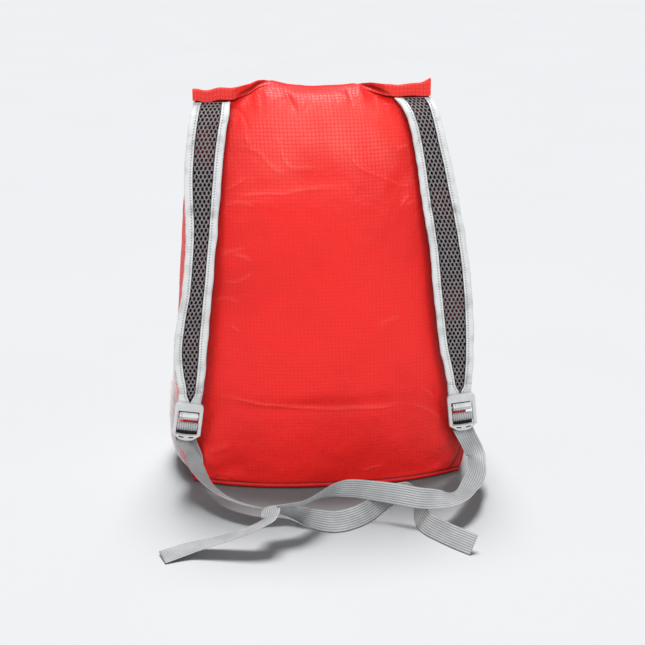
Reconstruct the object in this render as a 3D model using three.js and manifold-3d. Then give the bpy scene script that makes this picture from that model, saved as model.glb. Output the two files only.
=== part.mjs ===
// A packable day backpack that stands on its flat bottom, with its shoulder straps on the -Y side.
// Millimetres, +Z up, and the origin lies on the underside of the bottom panel.
import * as THREE from 'three';
import { mergeVertices } from 'three/addons/utils/BufferGeometryUtils.js';
import Module from 'manifold-3d';

const wasm = await Module();
wasm.setup();

// Bag sizes
const bagWidth = 285;
const bagDepth = 160;
const bagHeight = 391;
const clothThickness = 1.6;
const seamGap = 0.3;
const foldDepth = 3;
const trayRim = 6;
const traySole = 2.4;
const trayBend = 0.7;
const trayBendRise = 1.3;
const trayUpright = 4.2;

// Top band sizes
const bandWidth = 11;
const bandEarThickness = 6.9;
const bandClearance = 0.75;

// Net pocket sizes
const pocketHeight = 102;
const pocketBulge = 8.6;
const netThickness = 1.2;
const pocketFoot = 0.012;
const pocketMargin = 0.03;

// Shoulder strap sizes
const strapWidth = 37;
const strapThickness = 3.8;
const bindingWall = 0.9;
const bindingWidth = 8.5;
const bindingTip = { from: 0.01, to: 0.115 };
const meshThickness = 1.2;

// Buckle and webbing sizes
const webbingWidth = 20;
const webbingThickness = 1.3;
const tabWidth = 19;
const buckleRise = 77;
const buckleHeight = 40;
const buckleThickness = 4.5;
const buckleSide = 3.5;
const buckleTopPlate = 8.5;
const buckleLip = 6.5;
const buckleCorner = 5;
const buckleTaper = 2.2;
const buckleBevel = 0.5;
const lipBow = 1;
const windowBow = 1.6;
const slotWidth = 1.3;
const slotSweep = { from: 0.08, to: 0.25 };
const slotDrop = 0.45;
const slotBow = 0.75;
const bucklePlay = 1;
const strapBarRadius = 1.5;
const webbingBarRadius = 1.8;
const strapBarDrop = 5.5;
const webbingBarDrop = 16.3;
const lapClearance = 0.4;
const tailReach = 150;

// Sections of the bag, at shares of the way from the bottom seam to the top edge. Half and shift are
// shares of the width, bulge is how far the sides swell as a share of the depth, rises are shares of the
// height above the rim, and outs are shares of the depth, with - towards the straps.
const sectionRows = [
  {
    at: 0.0, half: 0.482, shift: 0.032, bulge: 0.019, seamRise: 0.0, seamOut: -0.45,
    backRise: 0.0, backOut: -0.609, frontRise: 0.0, frontOut: 0.325, frontSeamOut: 0.25,
  },
  {
    at: 0.06, half: 0.495, shift: 0.03, bulge: 0.038, seamRise: 0.049, seamOut: -0.45,
    backRise: 0.052, backOut: -0.616, frontRise: 0.052, frontOut: 0.356, frontSeamOut: 0.263,
  },
  {
    at: 0.15, half: 0.5, shift: 0.028, bulge: 0.05, seamRise: 0.14, seamOut: -0.425,
    backRise: 0.145, backOut: -0.619, frontRise: 0.145, frontOut: 0.375, frontSeamOut: 0.269,
  },
  {
    at: 0.3, half: 0.491, shift: 0.025, bulge: 0.05, seamRise: 0.291, seamOut: -0.394,
    backRise: 0.299, backOut: -0.616, frontRise: 0.299, frontOut: 0.381, frontSeamOut: 0.263,
  },
  {
    at: 0.45, half: 0.475, shift: 0.019, bulge: 0.044, seamRise: 0.442, seamOut: -0.369,
    backRise: 0.452, backOut: -0.597, frontRise: 0.452, frontOut: 0.363, frontSeamOut: 0.244,
  },
  {
    at: 0.6, half: 0.458, shift: 0.014, bulge: 0.038, seamRise: 0.59, seamOut: -0.344,
    backRise: 0.608, backOut: -0.563, frontRise: 0.608, frontOut: 0.325, frontSeamOut: 0.213,
  },
  {
    at: 0.72, half: 0.442, shift: 0.01, bulge: 0.031, seamRise: 0.714, seamOut: -0.306,
    backRise: 0.738, backOut: -0.513, frontRise: 0.733, frontOut: 0.281, frontSeamOut: 0.169,
  },
  {
    at: 0.82, half: 0.423, shift: 0.006, bulge: 0.025, seamRise: 0.81, seamOut: -0.256,
    backRise: 0.847, backOut: -0.434, frontRise: 0.84, frontOut: 0.225, frontSeamOut: 0.119,
  },
  {
    at: 0.9, half: 0.409, shift: 0.002, bulge: 0.019, seamRise: 0.894, seamOut: -0.2,
    backRise: 0.945, backOut: -0.331, frontRise: 0.918, frontOut: 0.169, frontSeamOut: 0.063,
  },
  {
    at: 0.96, half: 0.398, shift: -0.003, bulge: 0.012, seamRise: 0.948, seamOut: -0.17,
    backRise: 0.99, backOut: -0.206, frontRise: 0.962, frontOut: 0.119, frontSeamOut: 0.019,
  },
  {
    at: 1.0, half: 0.391, shift: -0.005, bulge: 0.006, seamRise: 0.974, seamOut: -0.16,
    backRise: 1.0, backOut: -0.106, frontRise: 0.984, frontOut: 0.088, frontSeamOut: -0.012,
  },
];

// Top edge of the back panel and the band sewn to it, from the left ear to the right ear, at shares of
// the bag's width. Rise is a share of the height above the rim, width a share of the band's width, turn
// is the angle in degrees at which the band stands (0 lies back, 90 stands up), and lead is how far its
// face stands before the panel, as a share of what the ears are thicker than the cloth.
const bandRows = [
  { at: -0.41, rise: 0.974, width: 0.98, turn: 90, lead: 1 },
  { at: -0.284, rise: 0.974, width: 1.0, turn: 90, lead: 1 },
  { at: -0.246, rise: 0.981, width: 0.92, turn: 80, lead: 0.5 },
  { at: -0.218, rise: 0.988, width: 0.88, turn: 65, lead: 0.2 },
  { at: -0.186, rise: 1.002, width: 0.84, turn: 44, lead: 0.05 },
  { at: -0.144, rise: 1.009, width: 0.84, turn: 22, lead: 0 },
  { at: -0.07, rise: 1.003, width: 0.84, turn: 6, lead: 0 },
  { at: 0.0, rise: 1.0, width: 0.84, turn: 3, lead: 0 },
  { at: 0.088, rise: 1.002, width: 0.84, turn: 5, lead: 0 },
  { at: 0.15, rise: 1.003, width: 0.84, turn: 12, lead: 0 },
  { at: 0.18, rise: 0.993, width: 0.84, turn: 38, lead: 0.05 },
  { at: 0.21, rise: 0.984, width: 0.88, turn: 72, lead: 0.3 },
  { at: 0.25, rise: 0.979, width: 0.96, turn: 90, lead: 1 },
  { at: 0.32, rise: 0.978, width: 1.0, turn: 90, lead: 1 },
  { at: 0.36, rise: 0.978, width: 1.12, turn: 90, lead: 1 },
  { at: 0.394, rise: 0.979, width: 1.5, turn: 88, lead: 1 },
];

// How far the net pocket hangs out, at shares of its height, as a share of its bulge
const pocketSwell = [
  { at: 0, out: 0.06 },
  { at: 0.08, out: 0.6 },
  { at: 0.25, out: 0.9 },
  { at: 0.55, out: 1 },
  { at: 0.85, out: 0.94 },
  { at: 1, out: 0.82 },
];

// Folds of the back panel. Across is a share of the half width, up a share of the height, length and
// width are shares of the bag's width, angle is in degrees from the level, and depth is a share of the
// fold depth: + stands out, - is pressed in.
const foldRows = [
  { name: 'low crease', across: -0.05, up: 0.222, length: 0.34, width: 0.03, angle: 2, depth: -0.75 },
  { name: 'low ridge', across: 0.0, up: 0.255, length: 0.36, width: 0.045, angle: -1, depth: 0.55 },
  { name: 'left top gather', across: -0.25, up: 0.95, length: 0.07, width: 0.03, angle: -60, depth: -1.1 },
  { name: 'right top gather', across: 0.34, up: 0.95, length: 0.06, width: 0.03, angle: -68, depth: -1.0 },
  { name: 'shoulder crease', across: -0.2, up: 0.775, length: 0.18, width: 0.03, angle: 4, depth: -0.6 },
  { name: 'upper crease', across: 0.05, up: 0.84, length: 0.1, width: 0.03, angle: -6, depth: 0.5 },
  { name: 'left strap crease', across: -0.62, up: 0.6, length: 0.09, width: 0.035, angle: 24, depth: 0.8 },
  { name: 'right strap crease', across: 0.66, up: 0.79, length: 0.08, width: 0.035, angle: 52, depth: -0.8 },
  { name: 'left corner tuck', across: -0.72, up: 0.045, length: 0.07, width: 0.03, angle: 30, depth: -0.9 },
  { name: 'right corner tuck', across: 0.86, up: 0.06, length: 0.07, width: 0.035, angle: 52, depth: -1.2 },
];

// Shoulder straps, at shares of the way from the buckles up to the band. Out is a share of the bag's
// depth, centres are shares of its width, and widths are shares of the strap's width.
const strapRows = [
  { at: 0.0, out: -0.556, leftCentre: -0.454, leftWidth: 0.63, rightCentre: 0.494, rightWidth: 0.65 },
  { at: 0.03, out: -0.556, leftCentre: -0.45, leftWidth: 0.643, rightCentre: 0.491, rightWidth: 0.66 },
  { at: 0.062, out: -0.556, leftCentre: -0.447, leftWidth: 0.67, rightCentre: 0.489, rightWidth: 0.7 },
  { at: 0.115, out: -0.556, leftCentre: -0.447, leftWidth: 0.781, rightCentre: 0.484, rightWidth: 0.803 },
  { at: 0.2, out: -0.554, leftCentre: -0.444, leftWidth: 0.873, rightCentre: 0.474, rightWidth: 0.938 },
  { at: 0.304, out: -0.548, leftCentre: -0.431, leftWidth: 0.849, rightCentre: 0.464, rightWidth: 1.0 },
  { at: 0.408, out: -0.538, leftCentre: -0.414, leftWidth: 0.786, rightCentre: 0.453, rightWidth: 1.027 },
  { at: 0.512, out: -0.518, leftCentre: -0.402, leftWidth: 0.789, rightCentre: 0.441, rightWidth: 1.008 },
  { at: 0.616, out: -0.486, leftCentre: -0.392, leftWidth: 0.824, rightCentre: 0.424, rightWidth: 0.986 },
  { at: 0.72, out: -0.434, leftCentre: -0.387, leftWidth: 0.914, rightCentre: 0.406, rightWidth: 0.951 },
  { at: 0.79, out: -0.397, leftCentre: -0.382, leftWidth: 0.959, rightCentre: 0.395, rightWidth: 0.916 },
  { at: 0.86, out: -0.352, leftCentre: -0.374, leftWidth: 0.976, rightCentre: 0.382, rightWidth: 0.873 },
  { at: 0.911, out: -0.315, leftCentre: -0.366, leftWidth: 0.989, rightCentre: 0.372, rightWidth: 0.865 },
  { at: 0.963, out: -0.262, leftCentre: -0.355, leftWidth: 0.997, rightCentre: 0.357, rightWidth: 0.91 },
  { at: 1.0, out: -0.18, leftCentre: -0.346, leftWidth: 0.957, rightCentre: 0.336, rightWidth: 1.0 },
];

// Webbing that leaves the two buckles. Across is a share of the bag's width, out a share of the tails'
// reach before the straps, lift is the height of the lower edge off the ground as a share of the
// webbing's width, and turn is the roll in degrees about the webbing's own length.
const tailRows = {
  left: [
    { across: -0.442, out: 0.06, lift: 1.47, turn: 196 },
    { across: -0.407, out: 0.193, lift: 0.86, turn: 210 },
    { across: -0.337, out: 0.353, lift: 0.56, turn: 210 },
    { across: -0.236, out: 0.47, lift: 0.45, turn: 206 },
    { across: -0.186, out: 0.483, lift: 0.28, turn: 217 },
    { across: -0.138, out: 0.495, lift: 0.1, turn: 240 },
    { across: -0.069, out: 0.582, lift: 0.03, turn: 272 },
    { across: 0.018, out: 0.64, lift: 0.02, turn: 300 },
    { across: 0.084, out: 0.6, lift: 0.02, turn: 302 },
    { across: 0.139, out: 0.519, lift: 0.02, turn: 300 },
    { across: 0.187, out: 0.413, lift: 0.02, turn: 293 },
    { across: 0.247, out: 0.305, lift: 0.02, turn: 280 },
    { across: 0.29, out: 0.284, lift: 0.02, turn: 272 },
    { across: 0.309, out: 0.385, lift: 0.02, turn: 276 },
    { across: 0.307, out: 0.541, lift: 0.02, turn: 290 },
    { across: 0.322, out: 0.7, lift: 0.02, turn: 304 },
    { across: 0.363, out: 0.817, lift: 0.02, turn: 302 },
    { across: 0.405, out: 0.906, lift: 0.02, turn: 306 },
    { across: 0.451, out: 0.993, lift: 0.02, turn: 309 },
  ],
  right: [
    { across: 0.55, out: 0.055, lift: 1.56, turn: 176 },
    { across: 0.546, out: 0.165, lift: 1.3, turn: 166 },
    { across: 0.536, out: 0.255, lift: 1.17, turn: 166 },
    { across: 0.516, out: 0.349, lift: 1.08, turn: 160 },
    { across: 0.488, out: 0.453, lift: 1.0, turn: 154 },
    { across: 0.45, out: 0.556, lift: 1.18, turn: 178 },
    { across: 0.41, out: 0.611, lift: 1.13, turn: 197 },
    { across: 0.37, out: 0.627, lift: 1.07, turn: 216 },
    { across: 0.312, out: 0.623, lift: 0.99, turn: 241 },
    { across: 0.239, out: 0.567, lift: 1.01, turn: 246 },
    { across: 0.153, out: 0.505, lift: 1.0, turn: 264 },
    { across: 0.08, out: 0.476, lift: 1.05, turn: 273 },
    { across: 0.026, out: 0.496, lift: 1.12, turn: 291 },
    { across: -0.006, out: 0.536, lift: 1.21, turn: 302 },
    { across: -0.046, out: 0.615, lift: 1.3, turn: 311 },
    { across: -0.1, out: 0.705, lift: 1.4, turn: 320 },
    { across: -0.152, out: 0.727, lift: 1.5, turn: 328 },
    { across: -0.19, out: 0.746, lift: 1.56, turn: 335 },
    { across: -0.2, out: 0.818, lift: 1.44, turn: 338 },
    { across: -0.211, out: 0.846, lift: 1.35, turn: 345 },
    { across: -0.266, out: 0.864, lift: 1.03, turn: 350 },
    { across: -0.324, out: 0.86, lift: 0.75, turn: 353 },
    { across: -0.385, out: 0.852, lift: 0.5, turn: 356 },
    { across: -0.46, out: 0.851, lift: 0.24, turn: 363 },
    { across: -0.548, out: 0.903, lift: 0.02, turn: 366 },
  ],
};

// Ways of the two straps' tapes through a buckle. Outs are millimetres behind the back face's clearance,
// drops and rises are from the bar or the lip, and angles go round the bar: 0 behind it, 90 above.
const tabRoute = {
  edgeIn: 0.8,
  from: 48,
  to: 305,
  leaveIn: 1.2,
  leaveDrop: 0.6,
  backOut: 1.3,
  backDrop: 0.8,
  riseOut: 1.9,
  riseUp: 3.5,
  endOut: 2.1,
  endDrop: 1,
};
const webbingRoute = {
  footOut: 3.6,
  riseOut: 2.4,
  riseDrop: 4.5,
  from: 12,
  to: 250,
  leaveIn: 1.8,
  leaveDrop: 2.2,
  lipDrop: 0.6,
};

// Side of the bag for each strap, and the lean of its buckle in degrees, with its foot outwards
const strapSides = {
  left: { sign: -1, lean: 8.5 },
  right: { sign: 1, lean: -6.5 },
};

// Where the webbings are sewn to the back panel: shares of its half width and of its height
const anchorAcross = 0.955;
const anchorUp = 0.085;
const anchorLap = 0.03;
const anchorGap = 0.9;

// Grid steps
const backColumns = 30;
const backRows = 34;
const frontColumns = 16;
const sideColumns = 6;
const outerRows = 18;
const bandSteps = 40;
const strapSteps = 20;
const pocketColumns = 10;
const pocketRows = 8;
const barSides = 10;
const loopSteps = 8;

const webbingPlay = 0.3;
const backExponent = 2.6;
const shoulderExponent = 1.7;
const riseExponent = 1.6;
const frontExponent = 2.8;
const pocketExponent = 0.7;
const topBlendStart = 0.84;
const middle = 0.5;

// Value of one column of a table at a place between its rows, along a smooth curve that never
// overshoots them: the slope at a row is the harmonic mean of the slopes on its two sides.
function readTable(rows, at, name) {
  const last = rows.length - 1;
  const place = THREE.MathUtils.clamp(at, rows[0].at, rows[last].at);
  let k = 0;
  while (k < last - 1 && place > rows[k + 1].at) k += 1;
  const slope = (i) => (rows[i + 1][name] - rows[i][name]) / (rows[i + 1].at - rows[i].at);
  const bend = (i) => {
    if (i === 0) return slope(0);
    if (i === last) return slope(last - 1);
    const before = slope(i - 1);
    const after = slope(i);
    return before * after > 0 ? (2 * before * after) / (before + after) : 0;
  };
  const step = rows[k + 1].at - rows[k].at;
  const f = (place - rows[k].at) / step;
  const rise = 2 * f * f * f - 3 * f * f + 1;
  return rise * rows[k][name] + (1 - rise) * rows[k + 1][name]
    + step * (f * f * f - 2 * f * f + f) * bend(k) + step * (f * f * f - f * f) * bend(k + 1);
}

// A closed body through a row of rings with equal counts of points. Each ring runs counterclockwise
// seen from the next one, and cap gives the triangles that close the first and the last.
function loft(rings, cap) {
  const size = rings[0].length;
  const index = [];
  for (let k = 0; k < rings.length - 1; k += 1) {
    for (let i = 0; i < size; i += 1) {
      const a = k * size + i;
      const b = k * size + ((i + 1) % size);
      index.push(a, b, b + size, a, b + size, a + size);
    }
  }
  const last = (rings.length - 1) * size;
  for (const [a, b, c] of cap(rings[0])) index.push(c, b, a);
  for (const [a, b, c] of cap(rings.at(-1))) index.push(last + a, last + b, last + c);
  const geometry = new THREE.BufferGeometry().setFromPoints(rings.flat());
  geometry.setIndex(index);
  geometry.computeVertexNormals();
  return geometry;
}

// Cap of a ring that goes out along one face of a sheet and comes back along the other
function stripCap(ring) {
  const triangles = [];
  const end = ring.length - 1;
  for (let i = 0; i < ring.length / 2 - 1; i += 1) {
    triangles.push([i, i + 1, end - 1 - i], [i, end - 1 - i, end - i]);
  }
  return triangles;
}

// Cap of a ring that is a plain outline in plan
function outlineCap(ring) {
  return THREE.ShapeUtils.triangulateShape(ring.map((p) => new THREE.Vector2(p.x, p.y)), []);
}

// Fold height of the back panel at a place: the sum of rounded ridges, each a bell across its line that
// fades out at the line's ends.
function foldHeight(across, up) {
  let height = 0;
  for (const fold of foldRows) {
    const x = (across - fold.across) / 2;
    const z = ((up - fold.up) * bagHeight) / bagWidth;
    const angle = THREE.MathUtils.degToRad(fold.angle);
    const along = (x * Math.cos(angle) + z * Math.sin(angle)) / fold.length;
    const aside = (z * Math.cos(angle) - x * Math.sin(angle)) / fold.width;
    height += foldDepth * fold.depth * Math.exp(-(aside ** 2) - along ** 4);
  }
  return height;
}

const riseOf = (share) => trayRim + share * (bagHeight - trayRim);
const bandRiseAt = (x) => riseOf(readTable(bandRows, x / bagWidth, 'rise'));

// Back panel: swells towards its middle, and near the top follows the band's rising and falling edge
function backPoint(u, t) {
  const s = 2 * u - 1;
  const read = (name) => readTable(sectionRows, t, name);
  const x = bagWidth * (read('shift') + read('half') * s);
  const blend = THREE.MathUtils.smoothstep(t, topBlendStart, 1);
  const sideways = Math.abs(s) ** THREE.MathUtils.lerp(backExponent, shoulderExponent, blend);
  const out = THREE.MathUtils.lerp(read('backOut'), read('seamOut'), sideways);
  const fall = Math.abs(s) ** riseExponent;
  const plainRise = riseOf(THREE.MathUtils.lerp(read('backRise'), read('seamRise'), fall));
  const top = sectionRows.at(-1);
  const lift = blend * (bandRiseAt(x) - riseOf(THREE.MathUtils.lerp(top.backRise, top.seamRise, fall)));
  const edges = THREE.MathUtils.smoothstep(t, 0, 0.03) * (1 - THREE.MathUtils.smoothstep(t, 0.97, 1));
  const fold = foldHeight(s, t) * edges * (1 - Math.abs(s) ** 6);
  return new THREE.Vector3(x, bagDepth * out - fold, plainRise + lift);
}

// Front panel, away from the straps: a plain swelling sheet
function frontPoint(u, t) {
  const s = 1 - 2 * u;
  const read = (name) => readTable(sectionRows, t, name);
  const sideways = Math.abs(s) ** frontExponent;
  return new THREE.Vector3(
    bagWidth * (read('shift') + read('half') * s),
    bagDepth * THREE.MathUtils.lerp(read('frontOut'), read('frontSeamOut'), sideways),
    riseOf(THREE.MathUtils.lerp(read('frontRise'), read('seamRise'), sideways)),
  );
}

// Side panels run from the back seam to the front seam on the right, and back again on the left
function sidePoint(sign, u, t) {
  const back = backPoint(sign > 0 ? 1 : 0, t);
  const front = frontPoint(sign > 0 ? 0 : 1, t);
  const point = back.lerp(front, sign > 0 ? u : 1 - u);
  point.x += sign * bagDepth * readTable(sectionRows, t, 'bulge') * Math.sin(Math.PI * u);
  return point;
}

// The four walls in order round the bag, each from u = 0 to u = 1
const walls = [
  { name: 'back_panel', point: backPoint, columns: backColumns, rows: backRows },
  { name: 'right_side_panel', point: (u, t) => sidePoint(1, u, t), columns: sideColumns, rows: outerRows },
  { name: 'front_panel', point: frontPoint, columns: frontColumns, rows: outerRows },
  { name: 'left_side_panel', point: (u, t) => sidePoint(-1, u, t), columns: sideColumns, rows: outerRows },
];

// Outward direction of one wall from the steps to its near neighbours
function wallNormal(wall, u, t) {
  const step = 0.004;
  const across = wall.point(Math.min(u + step, 1), t).sub(wall.point(Math.max(u - step, 0), t));
  const up = wall.point(u, Math.min(t + step, 1)).sub(wall.point(u, Math.max(t - step, 0)));
  return across.cross(up).normalize();
}

// At a seam both walls use the direction halfway between theirs, so that their edges are mitred
function mitredNormal(k, u, t) {
  const normal = wallNormal(walls[k], u, t);
  if (u === 0) normal.add(wallNormal(walls[(k + 3) % 4], 1, t));
  if (u === 1) normal.add(wallNormal(walls[(k + 1) % 4], 0, t));
  return normal.normalize();
}

// One wall as a sheet of cloth. Its side edges stop short of the seam by its share of the gap.
function wallGeometry(k, columns, rows) {
  const rings = [];
  for (let j = 0; j <= rows; j += 1) {
    const t = j / rows;
    const outer = [];
    const inner = [];
    for (let i = 0; i <= columns; i += 1) {
      const u = i / columns;
      const point = walls[k].point(u, t);
      if (i === 0 || i === columns) {
        const inward = walls[k].point(i === 0 ? 1 / columns : 1 - 1 / columns, t).sub(point);
        point.add(inward.setLength(seamGap));
      }
      if (j === 0) point.z += seamGap;
      outer.push(point);
      inner.push(point.clone().addScaledVector(mitredNormal(k, u, t), -clothThickness));
    }
    rings.push([...outer, ...inner.reverse()]);
  }
  return loft(rings, stripCap);
}

// Outline of the bag in plan at its bottom seam, with each seam corner once
function bottomOutline(inset) {
  const points = [];
  walls.forEach((wall, k) => {
    const steps = Math.min(wall.columns, frontColumns);
    for (let i = 0; i < steps; i += 1) {
      const u = i / steps;
      const normal = mitredNormal(k, u, 0).setZ(0).normalize();
      points.push(wall.point(u, 0).addScaledVector(normal, -inset));
    }
  });
  return points;
}

// Bottom panel: a shallow tray whose rim turns up to meet the walls
function bottomGeometry() {
  const levels = [
    { inset: traySole, rise: 0 },
    { inset: trayBend, rise: trayBendRise },
    { inset: 0, rise: trayUpright },
    { inset: 0, rise: trayRim },
    { inset: clothThickness, rise: trayRim },
    { inset: trayBend + clothThickness, rise: trayBendRise + clothThickness },
    { inset: traySole + clothThickness, rise: clothThickness },
  ];
  const rings = levels.map(({ inset, rise }) => bottomOutline(inset).map((p) => p.setZ(rise)));
  return loft(rings, outlineCap);
}

// Top band: a strip whose ears stand over the ends of the straps, and which turns to lie back between
function bandGeometry() {
  const from = bandRows[0].at * bagWidth;
  const to = bandRows.at(-1).at * bagWidth;
  const rings = [];
  for (let k = 0; k <= bandSteps; k += 1) {
    const x = from + (k / bandSteps) * (to - from);
    const read = (name) => readTable(bandRows, x / bagWidth, name);
    const top = sectionRows.at(-1);
    const u = THREE.MathUtils.clamp((x / bagWidth - top.shift) / top.half / 2 + middle, 0, 1);
    const seat = backPoint(u, 1);
    const turn = THREE.MathUtils.degToRad(read('turn'));
    const along = new THREE.Vector3(0, Math.cos(turn), Math.sin(turn));
    const face = new THREE.Vector3(0, -Math.sin(turn), Math.cos(turn));
    const lead = read('lead') * (bandEarThickness - clothThickness);
    const foot = new THREE.Vector3(x, seat.y, bandRiseAt(x)).addScaledVector(along, bandClearance);
    const corner = (height, depth) => foot.clone()
      .addScaledVector(along, height * read('width') * bandWidth)
      .addScaledVector(face, depth);
    rings.push([corner(0, -clothThickness), corner(1, -clothThickness), corner(1, lead), corner(0, lead)]);
  }
  return loft(rings, stripCap);
}

// Net pocket on the left side panel: hangs out from it, sewn at the bottom and at both seams
function pocketGeometry() {
  const topShare = pocketHeight / (bagHeight - trayRim);
  const rings = [];
  for (let j = 0; j <= pocketRows; j += 1) {
    const v = j / pocketRows;
    const t = pocketFoot + v * topShare;
    const inner = [];
    const outer = [];
    for (let i = 0; i <= pocketColumns; i += 1) {
      const u = THREE.MathUtils.lerp(pocketMargin, 1 - pocketMargin, i / pocketColumns);
      const normal = wallNormal(walls[3], u, t);
      const hang = pocketBulge * readTable(pocketSwell, v, 'out') * Math.sin(Math.PI * u) ** pocketExponent;
      const base = walls[3].point(u, t).addScaledVector(normal, seamGap + hang);
      inner.push(base);
      outer.push(base.clone().addScaledVector(normal, netThickness));
    }
    rings.push([...outer, ...inner.reverse()]);
  }
  return loft(rings, stripCap);
}

// Place where a strap ends below the band, and where it ends behind its buckle
function strapEnds(side) {
  const column = readTable(strapRows, 1, `${side}Centre`);
  return {
    top: bandRiseAt(column * bagWidth) - seamGap,
    bottom: buckleRise + buckleHeight / 2 - middle * buckleTopPlate,
  };
}

// Frame of a strap at a share of its height: its middle, its width direction and its face direction
function strapFrame(side, at) {
  const ends = strapEnds(side);
  const centreAt = (share) => new THREE.Vector3(
    bagWidth * readTable(strapRows, share, `${side}Centre`),
    bagDepth * readTable(strapRows, share, 'out'),
    THREE.MathUtils.lerp(ends.bottom, ends.top, share),
  );
  const step = 0.01;
  const along = centreAt(Math.min(at + step, 1)).sub(centreAt(Math.max(at - step, 0))).setX(0).normalize();
  if (at === 1) along.set(0, 0, 1);
  const across = new THREE.Vector3(1, 0, 0);
  return {
    centre: centreAt(at),
    across,
    back: along.clone().cross(across),
    half: middle * strapWidth * readTable(strapRows, at, `${side}Width`),
  };
}

// Stations of a strap, closer together where it bends over the shoulder
const strapStations = Array.from(
  { length: strapSteps + 1 },
  (_, k) => Math.sin((k / strapSteps) * (Math.PI / 2)),
);

// Air mesh between the two bindings of a strap, whose edges lie in their slots
function strapMeshGeometry(side) {
  const rings = strapStations.map((at) => {
    const { centre, across, back, half } = strapFrame(side, at);
    const reach = half - bindingWall - 2 * seamGap;
    const corner = (x, y) => centre.clone()
      .addScaledVector(across, x * reach)
      .addScaledVector(back, y * meshThickness / 2);
    return [corner(-1, -1), corner(1, -1), corner(1, 1), corner(-1, 1)];
  });
  return loft(rings, stripCap);
}

// Binding along one edge of a strap: a channel open towards the mesh. Towards the buckle the two
// channels widen until they meet at the strap's middle.
function bindingGeometry(side, edge) {
  const rings = strapStations.map((at) => {
    const { centre, across, back, half } = strapFrame(side, at);
    const closing = 1 - THREE.MathUtils.smoothstep(at, bindingTip.from, bindingTip.to);
    const width = THREE.MathUtils.lerp(bindingWidth, half - seamGap / 2, closing);
    const h = strapThickness / 2;
    const lip = h - bindingWall;
    const section = [
      [width, h],
      [0, h],
      [0, -h],
      [width, -h],
      [width, -lip],
      [bindingWall, -lip],
      [bindingWall, lip],
      [width, lip],
    ];
    return section.map(([a, n]) => centre.clone()
      .addScaledVector(across, edge * (half - a))
      .addScaledVector(back, -edge * n));
  });
  return loft(rings, stripCap);
}

// A strip of webbing or tape through stations that give its middle and its width direction
function ribbonGeometry(stations, width, thickness) {
  const rings = stations.map(({ centre, across }, k) => {
    const before = stations[Math.max(k - 1, 0)].centre;
    const after = stations[Math.min(k + 1, stations.length - 1)].centre;
    const along = after.clone().sub(before).normalize();
    const side = across.clone().addScaledVector(along, -across.dot(along)).normalize();
    const face = along.cross(side);
    const corner = (x, y) => centre.clone()
      .addScaledVector(side, x * width / 2)
      .addScaledVector(face, y * thickness / 2);
    return [corner(-1, -1), corner(1, -1), corner(1, 1), corner(-1, 1)];
  });
  return loft(rings, stripCap);
}

// Where a buckle sits: behind it lies the end of its strap
function buckleMatrix(side) {
  const { centre } = strapFrame(side, 0);
  const setback = strapThickness / 2 + lapClearance + buckleThickness / 2;
  const lean = THREE.MathUtils.degToRad(strapSides[side].lean);
  const drop = centre.z - buckleRise;
  return new THREE.Matrix4()
    .makeRotationY(lean)
    .setPosition(centre.x - Math.sin(lean) * drop, centre.y - setback, buckleRise);
}

const openingTop = buckleHeight / 2 - buckleTopPlate;
const strapBarZ = openingTop - strapBarDrop;
const webbingBarZ = openingTop - webbingBarDrop;
const openingHalfWidth = (webbingWidth + bucklePlay) / 2;
const openingBottom = buckleLip - buckleHeight / 2;

// Closed geometry to a solid that can be joined and cut, and back
function toSolid(geometry) {
  geometry.deleteAttribute('normal');
  geometry.deleteAttribute('uv');
  const merged = mergeVertices(geometry.index ? geometry.toNonIndexed() : geometry, 1e-4);
  return new wasm.Manifold(new wasm.Mesh({
    numProp: 3,
    vertProperties: new Float32Array(merged.attributes.position.array),
    triVerts: new Uint32Array(merged.index.array),
  }));
}

function fromSolid(solid) {
  const mesh = solid.getMesh();
  const geometry = new THREE.BufferGeometry();
  geometry.setAttribute('position', new THREE.BufferAttribute(new Float32Array(mesh.vertProperties), 3));
  geometry.setIndex(Array.from(mesh.triVerts));
  geometry.computeVertexNormals();
  return geometry;
}

// Outline of the buckle: straight sides that draw in to a rounded lip
function buckleOutline() {
  const w = openingHalfWidth + buckleSide;
  const h = buckleHeight / 2;
  const foot = w - buckleTaper;
  const r = buckleCorner;
  const outline = new THREE.Shape();
  outline.moveTo(-w + r, h);
  outline.quadraticCurveTo(-w, h, -w, h - r);
  outline.lineTo(-w, openingBottom);
  outline.quadraticCurveTo(-foot, r - h, -foot + r, lipBow - h);
  outline.quadraticCurveTo(0, -h - lipBow, foot - r, lipBow - h);
  outline.quadraticCurveTo(foot, r - h, w, openingBottom);
  outline.lineTo(w, h - r);
  outline.quadraticCurveTo(w, h, w - r, h);
  return outline;
}

// Window of the buckle that the two bars cross
function buckleWindow() {
  const w = openingHalfWidth;
  const hole = new THREE.Path();
  hole.moveTo(-w, openingTop);
  hole.lineTo(-w, openingBottom);
  hole.quadraticCurveTo(0, openingBottom - windowBow, w, openingBottom);
  hole.lineTo(w, openingTop);
  return hole;
}

// Curved slot through the lip, left or right of its middle
function lipSlot(sign) {
  const radius = slotBow * buckleHeight;
  const centre = radius + slotDrop * buckleLip - buckleHeight / 2;
  const start = -Math.PI / 2 + sign * slotSweep.from;
  const end = -Math.PI / 2 + sign * slotSweep.to;
  const slot = new THREE.Shape();
  slot.absarc(0, centre, radius, start, end, sign < 0);
  slot.absarc(0, centre, radius - slotWidth, end, start, sign > 0);
  return slot;
}

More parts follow.
